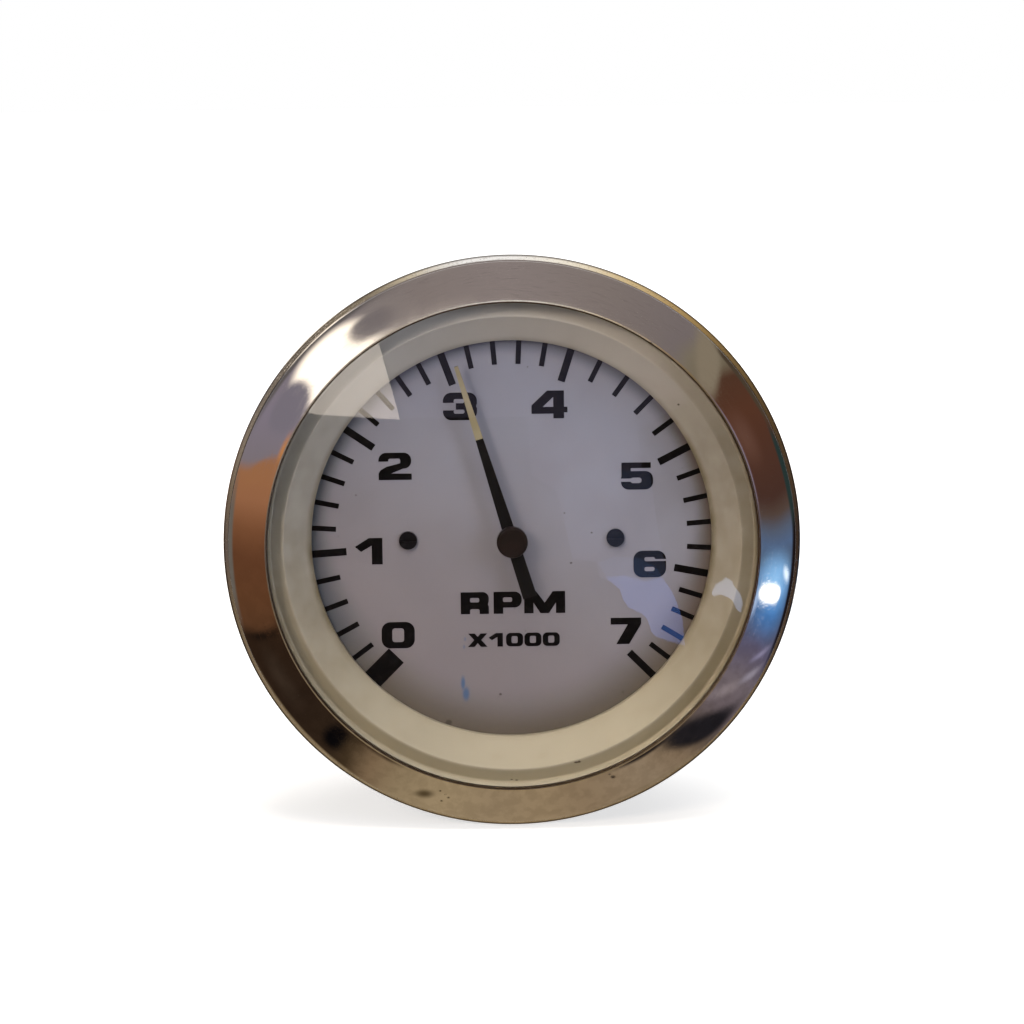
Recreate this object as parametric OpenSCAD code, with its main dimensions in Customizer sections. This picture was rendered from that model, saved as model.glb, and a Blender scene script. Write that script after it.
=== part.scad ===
// Boat tachometer: a four inch panel gauge with a stainless bezel, a white dial that reads
// 0 to 7 thousand, and a clamp bracket behind the panel.
// The gauge looks along -Y, its dial is upright along +Z, and the origin is the centre of the
// plane where the bezel rests on the panel. Inside the modules, x is right, y is up on the dial
// and z points out of the dial, and upright() turns that into the finished pose.

/* [Bezel] */
// Diameter over the rear lip
bezel_d = 101.6; // [100.6:0.1:104]
// Width of the rear lip that stands outside the crown
lip_w = 1.0; // [0.8:0.1:1.3]
// Thickness of the folded rear lip
lip_t = 1.2; // [1:0.1:1.4]
// Height of the crown's outer edge above the panel
skirt_h = 3.2; // [2.8:0.1:3.6]
// Clear diameter of the window
window_d = 85.7; // [85:0.1:86.2]
// Thickness of the stainless sheet
bezel_sheet = 0.6; // [0.5:0.05:0.7]
// How far the crown bulges out of a straight cone
crown_bulge = 0.9; // [0.8:0.05:1.1]
// Length of the inner edge that is turned back on to the gasket
return_h = 0.9; // [0.8:0.05:1.2]
// Inner diameter of the rear face that rests on the panel
seat_d = 86.6; // [86.4:0.1:88]

/* [Lens] */
// Thickness of the flat glass
lens_t = 2.2; // [2:0.1:2.3]
// Glass that lies behind the bezel all round
lens_overlap = 1.7; // [1.3:0.1:1.8]
// Thickness of the rubber gasket on the glass
gasket_t = 0.5; // [0.4:0.05:0.6]
// Rubber that shows inside the window
gasket_reveal = 0.3; // [0.1:0.05:0.5]
// Radial width of the gasket
gasket_w = 1.4; // [1.1:0.1:1.5]

/* [Trim ring] */
// Diameter of the dial that shows inside the ring
opening_d = 71; // [68:0.5:73]
// Height of the upright edge that stands on the dial
toe_h = 1.4; // [0.8:0.1:2]
// Foot of the ring's underside outside that edge
toe_w = 1.5; // [1.2:0.1:2]
// Plastic under the groove
ring_floor_t = 0.8; // [0.7:0.05:1]
// Depth of the groove behind the crest
groove_depth = 0.3; // [0.2:0.05:0.4]
// Width of the flat crest
crest_w = 0.35; // [0.25:0.05:0.4]
// Height of the sloping lip from the groove to the glass
lip_rise = 1.2; // [1.1:0.05:1.3]
// Width of the sloping lip
lip_slope_w = 0.8; // [0.6:0.05:0.9]

/* [Case] */
// Diameter of the barrel that goes through the panel
barrel_d = 84.6; // [84.2:0.1:85]
// Depth of the case behind the panel face
case_depth = 58; // [57:0.5:62]
// Wall of the drawn case
case_wall = 1.0; // [0.9:0.05:1.1]
// Thickness of the flange under the bezel
flange_t = 0.8; // [0.7:0.05:0.9]
// Outer radius of the barrel's rear corner
case_corner = 5; // [4:0.5:6]

/* [Dial] */
// Depth of the dial face behind the panel face
dial_depth = 4.4; // [4:0.1:4.8]
// Thickness of the dial plate
dial_t = 0.8; // [0.6:0.1:1]
// Diameter of the hole for the pointer
dial_hole_d = 4.4; // [4:0.1:5]
// Thickness of the printed ink
ink_t = 0.08; // [0.06:0.01:0.12]
// Inner radius of the thousand marks
major_r = 29.4; // [28.5:0.1:30.5]
// Inner radius of the marks between them
minor_r = 31.2; // [30.8:0.1:33]
// Width of a thousand mark
major_w = 1.3; // [1.1:0.1:1.5]
// Width of a mark between them
minor_w = 0.9; // [0.7:0.1:1]
// Width of the broad mark at zero
zero_w = 3.7; // [3:0.1:4]
// Divisions to each thousand
divisions = 5; // [4:1:6]
// Distance between the two dial screws
screw_span = 36.8; // [35.8:0.1:37.4]
// Head diameter of a dial screw
screw_head_d = 3.2; // [3:0.1:3.6]
// Head height of a dial screw
screw_head_h = 0.7; // [0.6:0.1:0.9]

/* [Pointer] */
// Angle of the pointer, counter-clockwise from three o'clock
pointer_angle = 107; // [95:1:120]
// Length from the spindle to the tip
pointer_len = 32.6; // [31:0.1:34]
// Length of the tail
tail_len = 10.5; // [9:0.1:12]
// Width of the blade at the hub
pointer_w = 2.3; // [2:0.1:2.6]
// Width of the blade at the tip
tip_w = 0.7; // [0.6:0.05:0.9]
// Distance from the spindle to where the pale paint begins
paint_start = 19.1; // [16:0.1:22]
// Thickness of the blade
pointer_t = 0.5; // [0.4:0.05:0.6]
// Thickness of the pale paint
paint_t = 0.06; // [0.05:0.01:0.1]
// Height of the blade above the dial
pointer_lift = 2.8; // [2.4:0.1:3.2]
// Diameter of the hub cap
hub_d = 5.5; // [5:0.1:6]
// Height of the hub cap
hub_h = 1.7; // [1.4:0.1:2]
// Diameter of the brass bush under the blade
bush_d = 3.0; // [2.6:0.1:3.2]
// Height of the brass bush
bush_h = 2.0; // [1.6:0.1:2.2]

/* [Movement] */
// Diameter of the spindle
spindle_d = 1.2; // [1:0.05:1.4]
// Running clearance of the spindle in its bearings, on the radius
spindle_gap = 0.05; // [0.02:0.01:0.09]
// Diameter of each bearing
bearing_d = 2.4; // [2.2:0.1:2.6]
// Length of each bearing
bearing_l = 2.6; // [2:0.1:3]
// Diameter of the magnet on the spindle
magnet_d = 14; // [12:0.5:14.5]
// Thickness of the magnet
magnet_t = 5; // [4:0.1:5.4]
// Space around the magnet in the bobbin
magnet_gap = 0.7; // [0.5:0.05:0.9]
// Side of the square bobbin
bobbin_side = 22; // [21:0.5:22.5]
// Height of the bobbin's two halves together
bobbin_h = 16; // [15:0.5:17]
// Thickness of each winding
coil_t = 1.6; // [1.3:0.1:1.7]
// Width of each half of a winding
coil_w = 4.6; // [4:0.1:4.8]
// Gap between the two halves of a winding
coil_split = 4.6; // [4.4:0.1:5]
// Diameter of the bobbin's bosses
boss_d = 4.0; // [3.8:0.1:4.2]
// Inner diameter of the shield can
can_d = 32; // [32:0.2:32.8]
// Wall of the shield can
can_wall = 0.8; // [0.6:0.05:0.9]
// Height of the posts that carry the dial
post_h = 2.2; // [2:0.1:2.6]
// Diameter of those posts
post_d = 6; // [5.4:0.1:6.4]
// Thickness of the movement's front plate
frame_t = 2; // [1.8:0.1:2.4]
// Diameter of the movement's front plate
frame_d = 46; // [45:0.5:48]
// Space between the front plate and the outer winding
frame_gap = 1.3; // [1.2:0.1:1.6]

/* [Circuit board] */
// Thickness of the board
board_t = 1.6; // [1.2:0.1:1.8]
// Diameter of the board
board_d = 72; // [71:0.5:76]
// Distance from the board to the case's rear wall
board_gap = 9.4; // [9:0.1:10]
// Distance of the three pillars from the centre
pillar_r = 19.8; // [19.6:0.1:20.2]
// Diameter of a pillar
pillar_d = 4.8; // [4.4:0.1:5]

/* [Terminals] */
// Thread diameter of a terminal stud
terminal_d = 4.16; // [4:0.02:4.3]
// Length of the terminal studs behind the case
terminal_len = 16; // [15.5:0.5:20]
// Spacing of the outer studs from the middle one
terminal_pitch = 18; // [16:0.5:19]
// Distance across the flats of a terminal nut
terminal_af = 8.7; // [8:0.1:9]
// Thickness of a terminal nut
terminal_nut_t = 3.2; // [3:0.1:3.6]
// Thickness of the insulating washers
insulator_t = 1.4; // [1.2:0.1:1.8]

/* [Rear controls] */
// Sideways place of the selector switch
selector_x = -15; // [-16:0.5:-13]
// Upward place of the selector switch
selector_y = 20; // [19:0.5:21]
// Side of the switch body
switch_side = 15; // [14:0.5:16]
// Diameter of the selector's shaft
selector_shaft_d = 5; // [4.6:0.1:5.4]
// Diameter of the slotted knob
selector_knob_d = 8; // [7.6:0.1:8.8]
// Sideways place of the dial lamp
lamp_x = 16; // [15:0.5:17]
// Upward place of the dial lamp
lamp_y = 21; // [20.5:0.5:22]
// Diameter of the lamp holder's barrel
holder_d = 13.8; // [13.4:0.1:14]
// Length of the lamp holder's grip
grip_len = 8.3; // [7.5:0.1:10]
// Diameter of the bulb
bulb_d = 10; // [9.4:0.1:10.2]

/* [Clamp] */
// Thread diameter of the clamp studs
stud_d = 4.83; // [4.6:0.01:5]
// Distance of each clamp stud from the centre
stud_x = 24; // [23.5:0.1:26]
// Length of the clamp studs behind the case
stud_len = 30; // [29:0.5:34]
// Gap from the panel face to the clamp's feet at rest
feet_gap = 6; // [5:0.5:7]
// Width of the clamp strap
strap_w = 18; // [16:0.5:19]
// Thickness of the clamp strap
strap_t = 1.6; // [1.4:0.1:2]
// Distance between the clamp's legs
strap_span = 90; // [89.4:0.2:91]
// Gap from the case to the clamp's bar at rest
bar_gap = 10; // [9.5:0.5:12]
// Inner bend radius of the clamp
strap_bend = 3; // [2:0.5:4]
// Diameter of a knurled nut
knurl_d = 15; // [14:0.5:16]
// Grooves around a knurled nut
knurl_count = 30; // [24:1:36]

/* [Hidden] */
$fn = 96;

// Gap between pieces that are fixed together, gap around a fixed screw's shank, and a small
// overlap for clean cuts
fit = 0.02;
screw_free = 0.1;
eps = 0.01;

// Radii
bezel_r = bezel_d / 2;
skirt_r = bezel_r - lip_w;
window_r = window_d / 2;
barrel_r = barrel_d / 2;
mouth_r = barrel_r - case_wall;
opening_r = opening_d / 2;
mark_end_r = opening_r - fit;
ring_gap = 0.1;
ring_r = mouth_r - ring_gap;
ring_wall_end = -0.2;

// Heights in front of the panel face, stacked from the seat to the bezel's edge
flange_top = bezel_sheet + flange_t;
groove_z = flange_top + ring_floor_t;
crest_z = groove_z + groove_depth;
lens_z = groove_z + lip_rise;
lens_top = lens_z + lens_t;
gasket_top = lens_top + gasket_t;
bezel_h = gasket_top + return_h;
edge_r = bezel_sheet * 0.45;

// The dial and what carries it
dial_z = -dial_depth;
dial_back = dial_z - dial_t;
dial_gap = 0.5;
screw_x = screw_span / 2;
screw_shank_d = 2;
screw_slot_w = 0.4;
screw_slot_h = 0.3;
blade_z = dial_z + pointer_lift;
blade_top = blade_z + pointer_t;

// Depths of the movement
frame_top = dial_back - post_h;
frame_back = frame_top - frame_t;
coil_top = frame_back - frame_gap;
bobbin_top = coil_top - 2 * coil_t - 2 * fit;
bobbin_mid = bobbin_top - bobbin_h / 2;
bobbin_back = bobbin_top - bobbin_h;
can_gap = 1.6;
can_back = bobbin_back - 2 * coil_t - can_gap;
cavity_r = magnet_d / 2 + magnet_gap;
cavity_h = magnet_t + 2 * magnet_gap;
spindle_r = spindle_d / 2;
spindle_hole_r = spindle_r + 0.3;
spindle_end = bobbin_back + 0.9;
pin_xy = bobbin_side / 2 - 1.6;
pin_r = 0.4;
pin_in = 4;
pin_out = 1;
can_hole_r = pin_r + 0.8;

// Depths of the rear wall and the board
case_back = -case_depth;
inner_back = case_back + case_wall;
board_back = inner_back + board_gap;
board_front = board_back + board_t;
pillar_angles = [90, 210, 330];
chip_y = -18;
capacitor_at = [27, -6];
resistor_x = -27;
resistor_rows = [-9, -4.5, 0, 4.5];
trimmer_y = 28;

// Small pan head screws that hold the front plate and the board to the pillars
small_screw_r = 1;
small_head_r = 1.9;
small_head_h = 1.2;
small_slot_w = 0.5;
lug_wall = 0.7;
screw_bite = 5;
thread_depth = screw_bite + 1;

// Terminals: their places, and the stack of parts on each stud
terminal_r = terminal_d / 2;
terminal_places = [[-terminal_pitch, -24], [0, -29], [terminal_pitch, -24]];
thread_h = 0.3;
thread_root_r = terminal_r - thread_h;
terminal_hole_r = terminal_r + 1.3;
bush_r = terminal_hole_r + 1;
insulator_r = terminal_hole_r + 2.4;
terminal_head_r = 4;
terminal_head_t = 1.6;
inner_nut_z = case_back - insulator_t;
lock_t = 0.8;
lock_gap = 0.15;
lock_in = 0.2;
lock_split = 0.6;
lock_z = inner_nut_z - terminal_nut_t;
outer_nut_z = lock_z - lock_t;
outer_nut_end = outer_nut_z - terminal_nut_t;
terminal_end = case_back - terminal_len;

// Selector
switch_h = 7;
neck_r = selector_shaft_d / 2 + 2.1;
selector_run = 0.05;
switch_cap = 4.2;
neck_out = 0.8;
selector_bore_end = board_back - switch_cap;
neck_end = case_back - neck_out;
neck_hole_r = neck_r + 0.3;
knob_gap = 0.2;
knob_h = 2;
knob_slot_w = 1;
knob_slot_h = 0.8;

// Lamp
holder_r = holder_d / 2;
lamp_hole_r = holder_r + 0.3;
lug_reach = 1.7;
lug_free = 0.4;
lug_w = 3.5;
lug_t = 1.5;
lug_gap = 0.2;
lamp_unlock = 45;
seal_t = 1.2;
holder_flange_t = 1.5;
holder_flange_r = lamp_hole_r + 2.3;
seal_r = holder_flange_r - 0.3;
holder_front = inner_back + 7;
holder_back = case_back - seal_t - holder_flange_t - grip_len;
bulb_r = bulb_d / 2;
bulb_base_z = holder_front - 4;
bulb_base_w = 2.2;
bulb_base_l = 8;
bulb_base_x = bulb_r - 0.7;
bulb_gap = 0.3;
bulb_tip = board_front + 10;
lamp_blade_w = 6.3;
lamp_blade_t = 0.8;
lamp_blade_out = 7.5;
lamp_blade_in = 3;
lamp_blade_hole_z = 3;
lamp_blade_hole_r = 0.8;

// Clamp
stud_r = stud_d / 2;
stud_hole_r = stud_r + 0.1;
stud_head_r = 4.5;
stud_head_t = 1.8;
stud_nut_af = 9.5;
stud_nut_t = 3.2;
strap_in = strap_span / 2;
bar_front = case_back - bar_gap;
bar_back = bar_front - strap_t;
clamp_hole_r = stud_r + 0.3;
clamp_washer_t = 1;
clamp_washer_r = 5.5;
clamp_washer_gap = 0.25;
nut_run = 0.05;
collar_l = 2;
collar_d = 10.8;
knurl_l = 7;
knurl_groove_r = 0.5;

// Angle of each thousand mark, counter-clockwise from three o'clock
MAJOR_ANGLES = [225, 183.7, 145.6, 110.2, 72.2, 27.1, -10.9, -45];
// Centre of each numeral
NUMERAL_AT = [
    [-20.4, -17.1], [-25.4, -1.9], [-20.5, 13.2], [-8.9, 23.7],
    [6.9, 23.8], [22.3, 10.9], [24.5, -4.9], [20.2, -16.9]
];
legend_y = -11.5;
legend_h = 3.95;
factor_y = -18.2;
factor_scale = 0.515;
numeral_h = 4.75;

function crown(a, b, bulge, steps = 12) =
    let (n = [b[1] - a[1], a[0] - b[0]] / norm(b - a))
    [for (i = [0:steps]) let (t = i / steps) a + (b - a) * t + n * 4 * bulge * t * (1 - t)];

module upright() {
    rotate([90, 0, 0]) children();
}

module at_z(z) {
    translate([0, 0, z]) children();
}

// A disc or tube of thickness h whose front face is at z
module tube(z, h, r, bore = 0) {
    at_z(z - h) difference() {
        cylinder(h = h, r = r);
        if (bore > 0) at_z(-eps) cylinder(h = h + 2 * eps, r = bore);
    }
}

module hex_nut(z, h, across, bore) {
    at_z(z - h) difference() {
        cylinder(h = h, r = across / sqrt(3), $fn = 6);
        at_z(-eps) cylinder(h = h + 2 * eps, r = bore);
    }
}

// A split spring washer
module lock_washer(z, h, r, bore) {
    difference() {
        tube(z, h, r, bore);
        translate([0, bore - 1, z - h - eps]) cube([lock_split, r, h + 2 * eps]);
    }
}

// Half section of a cup that opens upwards at zero, with a round lower corner
module cup_section(r, depth, corner) {
    translate([0, -depth + corner]) square([r, depth - corner]);
    translate([0, -depth]) square([r - corner, corner + eps]);
    translate([r - corner, -depth + corner]) circle(corner);
}

// Rectangle with round corners, from its lower left corner
module soft_box(x, y, w, h, r) {
    translate([x + r, y]) square([w - 2 * r, h]);
    translate([x, y + r]) square([w, h - 2 * r]);
    for (cx = [x + r, x + w - r]) for (cy = [y + r, y + h - r])
        translate([cx, cy]) circle(r);
}

module glyph_0() {
    difference() {
        soft_box(0, 0, 5.9, 4.75, 1.6);
        soft_box(1.9, 1.12, 2.1, 2.5, 0.5);
    }
}

module glyph_1() {
    polygon([[0, 3.2], [2.5, 4.75], [4.9, 4.75], [4.9, 0], [3, 0], [3, 3.4], [1.1, 2.3]]);
}

module glyph_2() {
    difference() {
        soft_box(0, 2, 5.8, 2.85, 1.35);
        soft_box(1.75, 3.05, 2.1, 0.75, 0.3);
        translate([-eps, 1.9]) square([1.75, 1.05]);
        translate([-eps, 1.9]) square([3.85, 1.4]);
    }
    polygon([[0, 0], [5.85, 0], [5.85, 1.1], [2.2, 1.15], [5.1, 2.3], [4, 3], [1.4, 2.35],
        [0.35, 1.75], [0, 1.2]]);
}

module glyph_3() {
    difference() {
        soft_box(0, 0, 6, 4.9, 1.5);
        translate([-eps, 1.75]) square([2.3, 1.35]);
        soft_box(1.9, 3, 1.85, 0.75, 0.3);
        soft_box(1.9, 1.15, 1.9, 0.72, 0.3);
        translate([6.3, 2.5]) circle(0.45);
    }
}

module glyph_4() {
    difference() {
        polygon([[0, 0.85], [0, 2.35], [2.75, 4.95], [5.75, 4.95], [5.75, 2.05], [6.35, 2.05],
            [6.35, 1.05], [5.75, 1.05], [5.75, 0], [3.85, 0], [3.85, 0.85]]);
        polygon([[1.95, 2.05], [3.85, 3.8], [3.85, 2.05]]);
    }
}

module glyph_5() {
    translate([0.1, 3.85]) square([5.2, 1]);
    translate([0.1, 2]) square([1.65, 2]);
    difference() {
        soft_box(0, 0, 5.7, 3.3, 1.4);
        soft_box(1.7, 1.15, 1.95, 1, 0.45);
        translate([-eps, 1.42]) square([2.1, 0.58]);
    }
}

module glyph_6() {
    difference() {
        soft_box(0, 0, 5.8, 4.8, 1.6);
        soft_box(1.95, 1.1, 1.8, 0.78, 0.35);
        soft_box(1.95, 2.9, 1.9, 0.75, 0.35);
        translate([3.4, 2.9]) square([3, 0.38]);
    }
}

module glyph_7() {
    polygon([[0, 4.75], [5.45, 4.75], [5.45, 3.6], [3.3, 0], [1, 0], [3.05, 3.55], [0, 3.55]]);
}

module glyph_r() {
    difference() {
        union() {
            square([2, 3.95]);
            soft_box(0.5, 1.3, 4.5, 2.65, 1.1);
            soft_box(1.4, -1, 3.6, 2.9, 0.7);
        }
        soft_box(1.65, 2.1, 1.65, 0.82, 0.3);
        soft_box(1.65, -1.5, 1.7, 2.4, 0.35);
        translate([1.2, -1.5]) square([5, 1.5]);
    }
}

module glyph_p() {
    difference() {
        union() {
            square([1.7, 3.95]);
            soft_box(0.5, 1.1, 4.5, 2.85, 1.25);
        }
        soft_box(1.65, 2.1, 1.65, 0.85, 0.3);
    }
}

module glyph_m() {
    polygon([[0, 0], [0, 3.95], [2.15, 3.95], [3.65, 1.9], [5.1, 3.95], [7.3, 3.95], [7.3, 0],
        [5.65, 0], [5.65, 1.9], [4.4, 0], [2.9, 0], [1.65, 1.9], [1.65, 0]]);
}

module glyph_x() {
    polygon([[0, 0], [2.3, 0], [3.4, 1.35], [4.5, 0], [6.8, 0], [4.6, 2.4], [6.7, 4.7],
        [4.4, 4.7], [3.4, 3.5], [2.4, 4.7], [0.1, 4.7], [2.2, 2.4]]);
}

module numeral(i) {
    widths = [5.9, 4.9, 5.85, 6, 6.35, 5.7, 5.8, 5.45];
    translate(NUMERAL_AT[i] - [widths[i], numeral_h] / 2) {
        if (i == 0) glyph_0();
        if (i == 1) glyph_1();
        if (i == 2) glyph_2();
        if (i == 3) glyph_3();
        if (i == 4) glyph_4();
        if (i == 5) glyph_5();
        if (i == 6) glyph_6();
        if (i == 7) glyph_7();
    }
}

// The unit of the scale: three letters, and the factor under them
module legend() {
    translate([-9.2, legend_y - legend_h / 2]) {
        glyph_r();
        translate([5.85, 0]) glyph_p();
        translate([11.3, 0]) glyph_m();
    }
    translate([-8, factor_y - numeral_h / 2 * factor_scale]) scale(factor_scale) {
        glyph_x();
        translate([7.2, 0]) glyph_1();
        for (i = [0:2]) translate([13.2 + 6.35 * i, 0]) glyph_0();
    }
}

// A mark of the scale at an angle, from an inner radius out to the trim ring
module mark(angle, inner, w) {
    rotate(angle) translate([inner, -w / 2]) square([mark_end_r - inner, w]);
}

module scale_marks() {
    last = len(MAJOR_ANGLES) - 1;
    mark(MAJOR_ANGLES[0], major_r, zero_w);
    for (i = [1:last]) mark(MAJOR_ANGLES[i], major_r, major_w);
    for (i = [0:last - 1]) for (j = [1:divisions - 1])
        mark(MAJOR_ANGLES[i] + (MAJOR_ANGLES[i + 1] - MAJOR_ANGLES[i]) * j / divisions,
            minor_r, minor_w);
}

module bezel() {
    outer = crown([skirt_r, skirt_h], [window_r + edge_r, bezel_h], crown_bulge);
    inner = crown([window_r + bezel_sheet, bezel_h - bezel_sheet],
        [skirt_r - bezel_sheet, skirt_h - bezel_sheet / 2], -crown_bulge);
    color("silver") upright() rotate_extrude() {
        polygon(concat(
            [[seat_d / 2, 0], [bezel_r - lip_t / 2, 0], [bezel_r - lip_t / 2, lip_t],
                [skirt_r, lip_t]],
            outer,
            [[window_r, bezel_h - edge_r], [window_r, gasket_top],
                [window_r + bezel_sheet, gasket_top]],
            inner,
            [[skirt_r - bezel_sheet, bezel_sheet], [seat_d / 2, bezel_sheet]]));
        translate([bezel_r - lip_t / 2, lip_t / 2]) circle(lip_t / 2);
        translate([window_r + edge_r, bezel_h - edge_r]) circle(edge_r);
    }
}

module lens_gasket() {
    inner = window_r - gasket_reveal;
    color([0.08, 0.08, 0.08]) upright() tube(gasket_top, gasket_t, inner + gasket_w, inner);
}

module lens() {
    color([0.8, 0.88, 0.9, 0.3]) upright() tube(lens_top, lens_t, window_r + lens_overlap);
}

module trim_ring() {
    color([0.86, 0.81, 0.66]) upright() rotate_extrude() polygon([
        [opening_r, dial_z], [opening_r, dial_z + toe_h],
        [ring_r - 2 * crest_w, crest_z], [ring_r - crest_w, crest_z],
        [ring_r, groove_z], [window_r - crest_w, groove_z],
        [window_r - crest_w + lip_slope_w, lens_z], [window_r + lens_overlap, lens_z],
        [window_r + lens_overlap, flange_top], [ring_r, flange_top],
        [ring_r, ring_wall_end], [opening_r + toe_w, dial_z]
    ]);
}

module dial_plate() {
    color([0.86, 0.86, 0.84]) upright() difference() {
        tube(dial_z, dial_t, mouth_r - dial_gap, dial_hole_d / 2);
        for (x = [-screw_x, screw_x]) translate([x, 0, dial_back - eps])
            cylinder(h = dial_t + 2 * eps, r = screw_shank_d / 2 + screw_free);
    }
}

module dial_print() {
    color([0.07, 0.06, 0.06]) upright() at_z(dial_z) linear_extrude(ink_t) {
        scale_marks();
        for (i = [0:7]) numeral(i);
        legend();
    }
}

module dial_screws() {
    color([0.1, 0.1, 0.1]) upright() for (x = [-screw_x, screw_x]) translate([x, 0, 0]) {
        difference() {
            tube(dial_z + screw_head_h, screw_head_h, screw_head_d / 2);
            translate([0, 0, dial_z + screw_head_h])
                cube([screw_head_d + 1, screw_slot_w, 2 * screw_slot_h], center = true);
        }
        tube(dial_z, dial_t + post_h, screw_shank_d / 2);
    }
}

module case_shell() {
    color([0.09, 0.09, 0.1]) upright() difference() {
        union() {
            rotate_extrude() difference() {
                cup_section(barrel_r, case_depth, case_corner);
                cup_section(mouth_r, case_depth - case_wall, case_corner - case_wall);
            }
            tube(flange_top, flange_top, barrel_r, mouth_r);
            tube(flange_top, flange_t, skirt_r - bezel_sheet - dial_gap, mouth_r);
        }
        at_z(case_back - eps) {
            for (p = terminal_places) translate(p)
                cylinder(h = case_wall + 2 * eps, r = terminal_hole_r);
            for (x = [-stud_x, stud_x]) translate([x, 0, 0])
                cylinder(h = case_wall + 2 * eps, r = stud_hole_r);
            translate([selector_x, selector_y, 0])
                cylinder(h = case_wall + 2 * eps, r = neck_hole_r);
            translate([lamp_x, lamp_y, 0]) {
                cylinder(h = case_wall + 2 * eps, r = lamp_hole_r);
                rotate(-lamp_unlock) translate([0, 0, case_wall / 2 + eps])
                    cube([2 * (holder_r + lug_reach + lug_free), lug_w + 2 * lug_free,
                        case_wall + 2 * eps],
                        center = true);
            }
        }
    }
}

module movement_frame() {
    color([0.12, 0.12, 0.12]) upright() difference() {
        union() {
            tube(frame_top, frame_t, frame_d / 2);
            for (a = pillar_angles) rotate(a) translate([pillar_r, 0, 0])
                tube(frame_top, frame_t, pillar_d / 2 + lug_wall);
            for (x = [-screw_x, screw_x]) translate([x, 0, 0])
                tube(dial_back, post_h + frame_t, post_d / 2);
        }
        at_z(frame_back - eps) {
            cylinder(h = frame_t + 2 * eps, r = boss_d / 2 + fit);
            for (a = pillar_angles) rotate(a) translate([pillar_r, 0, 0])
                cylinder(h = frame_t + 2 * eps, r = small_screw_r + screw_free);
        }
        for (x = [-screw_x, screw_x]) translate([x, 0, dial_back - post_h])
            cylinder(h = post_h + eps, r = screw_shank_d / 2 + fit);
    }
}

module front_bearing() {
    color("goldenrod") upright()
        tube(frame_top, bearing_l, bearing_d / 2, spindle_r + spindle_gap);
}

module rear_bearing() {
    color("goldenrod") upright() difference() {
        tube(bobbin_back + bearing_l, bearing_l, bearing_d / 2);
        at_z(spindle_end - spindle_gap) cylinder(h = bearing_l, r = spindle_r + spindle_gap);
    }
}

module bobbin_front() {
    color([0.75, 0.2, 0.15]) upright() difference() {
        union() {
            translate([-bobbin_side / 2, -bobbin_side / 2, bobbin_mid])
                cube([bobbin_side, bobbin_side, bobbin_h / 2]);
            tube(frame_top, frame_top - bobbin_top + eps, boss_d / 2);
        }
        tube(bobbin_mid + cavity_h / 2, cavity_h, cavity_r);
        at_z(bobbin_mid) cylinder(h = bobbin_h * 2, r = spindle_hole_r);
        tube(frame_top + eps, bearing_l + eps, bearing_d / 2 + fit);
    }
}

module bobbin_rear() {
    color([0.75, 0.2, 0.15]) upright() difference() {
        union() {
            translate([-bobbin_side / 2, -bobbin_side / 2, bobbin_back])
                cube([bobbin_side, bobbin_side, bobbin_h / 2]);
            tube(bobbin_back + eps, bobbin_back - can_back + eps, boss_d / 2);
        }
        tube(bobbin_mid + cavity_h / 2, cavity_h, cavity_r);
        at_z(bobbin_back) cylinder(h = bobbin_h, r = spindle_hole_r);
        tube(bobbin_back + bearing_l + fit, bearing_l + fit, bearing_d / 2 + fit);
        for (x = [-pin_xy, pin_xy]) for (y = [-pin_xy, pin_xy])
            translate([x, y, bobbin_back - eps]) cylinder(h = pin_in + fit, r = pin_r + fit);
    }
}

// Two bands around the bobbin, one on each side of the spindle, at a height above its faces
module winding(level) {
    inner_x = bobbin_side / 2 + fit;
    inner_z = bobbin_h / 2 + fit + level * (coil_t + fit);
    for (side = [-1, 1]) translate([0, side * (coil_split + coil_w) / 2, bobbin_mid])
        difference() {
            cube([2 * (inner_x + coil_t), coil_w, 2 * (inner_z + coil_t)], center = true);
            cube([2 * inner_x, coil_w + 2 * eps, 2 * inner_z], center = true);
        }
}

module sine_winding() {
    color([0.72, 0.36, 0.16]) upright() winding(0);
}

module cosine_winding() {
    color([0.66, 0.3, 0.14]) upright() rotate(90) winding(1);
}

module coil_pins() {
    color("tan") upright() for (x = [-pin_xy, pin_xy]) for (y = [-pin_xy, pin_xy])
        translate([x, y, board_back - pin_out])
            cylinder(h = bobbin_back + pin_in - board_back + pin_out, r = pin_r);
}

module shield_can() {
    color([0.6, 0.6, 0.58]) upright() difference() {
        at_z(can_back - can_wall)
            cylinder(h = frame_back - can_back + can_wall, r = can_d / 2 + can_wall);
        at_z(can_back) cylinder(h = frame_back - can_back + eps, r = can_d / 2);
        for (x = [-pin_xy, pin_xy]) for (y = [-pin_xy, pin_xy])
            translate([x, y, can_back - can_wall - eps])
                cylinder(h = can_wall + 2 * eps, r = can_hole_r);
    }
}

// A pan head screw whose head rests at z and whose shank goes up or down from it
module small_screw(z, toward, length) {
    head_z = toward > 0 ? z - small_head_h : z;
    shank_z = toward > 0 ? z : z - length;
    at_z(head_z) difference() {
        cylinder(h = small_head_h, r = small_head_r);
        translate([0, 0, toward > 0 ? 0 : small_head_h])
            cube([2 * small_head_r + 1, small_slot_w, small_head_h * 0.8], center = true);
    }
    at_z(shank_z) cylinder(h = length, r = small_screw_r);
}

module frame_screws() {
    color("silver") upright() for (a = pillar_angles) rotate(a) translate([pillar_r, 0, 0])
        small_screw(frame_top, -1, frame_t + screw_bite);
}

module board_pillars() {
    color("gold") upright() for (a = pillar_angles) rotate(a) translate([pillar_r, 0, 0])
        difference() {
            tube(frame_back, frame_back - board_front, pillar_d / 2);
            tube(frame_back + eps, thread_depth, small_screw_r + fit);
            tube(board_front + thread_depth, thread_depth + eps, small_screw_r + fit);
        }
}

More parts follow.
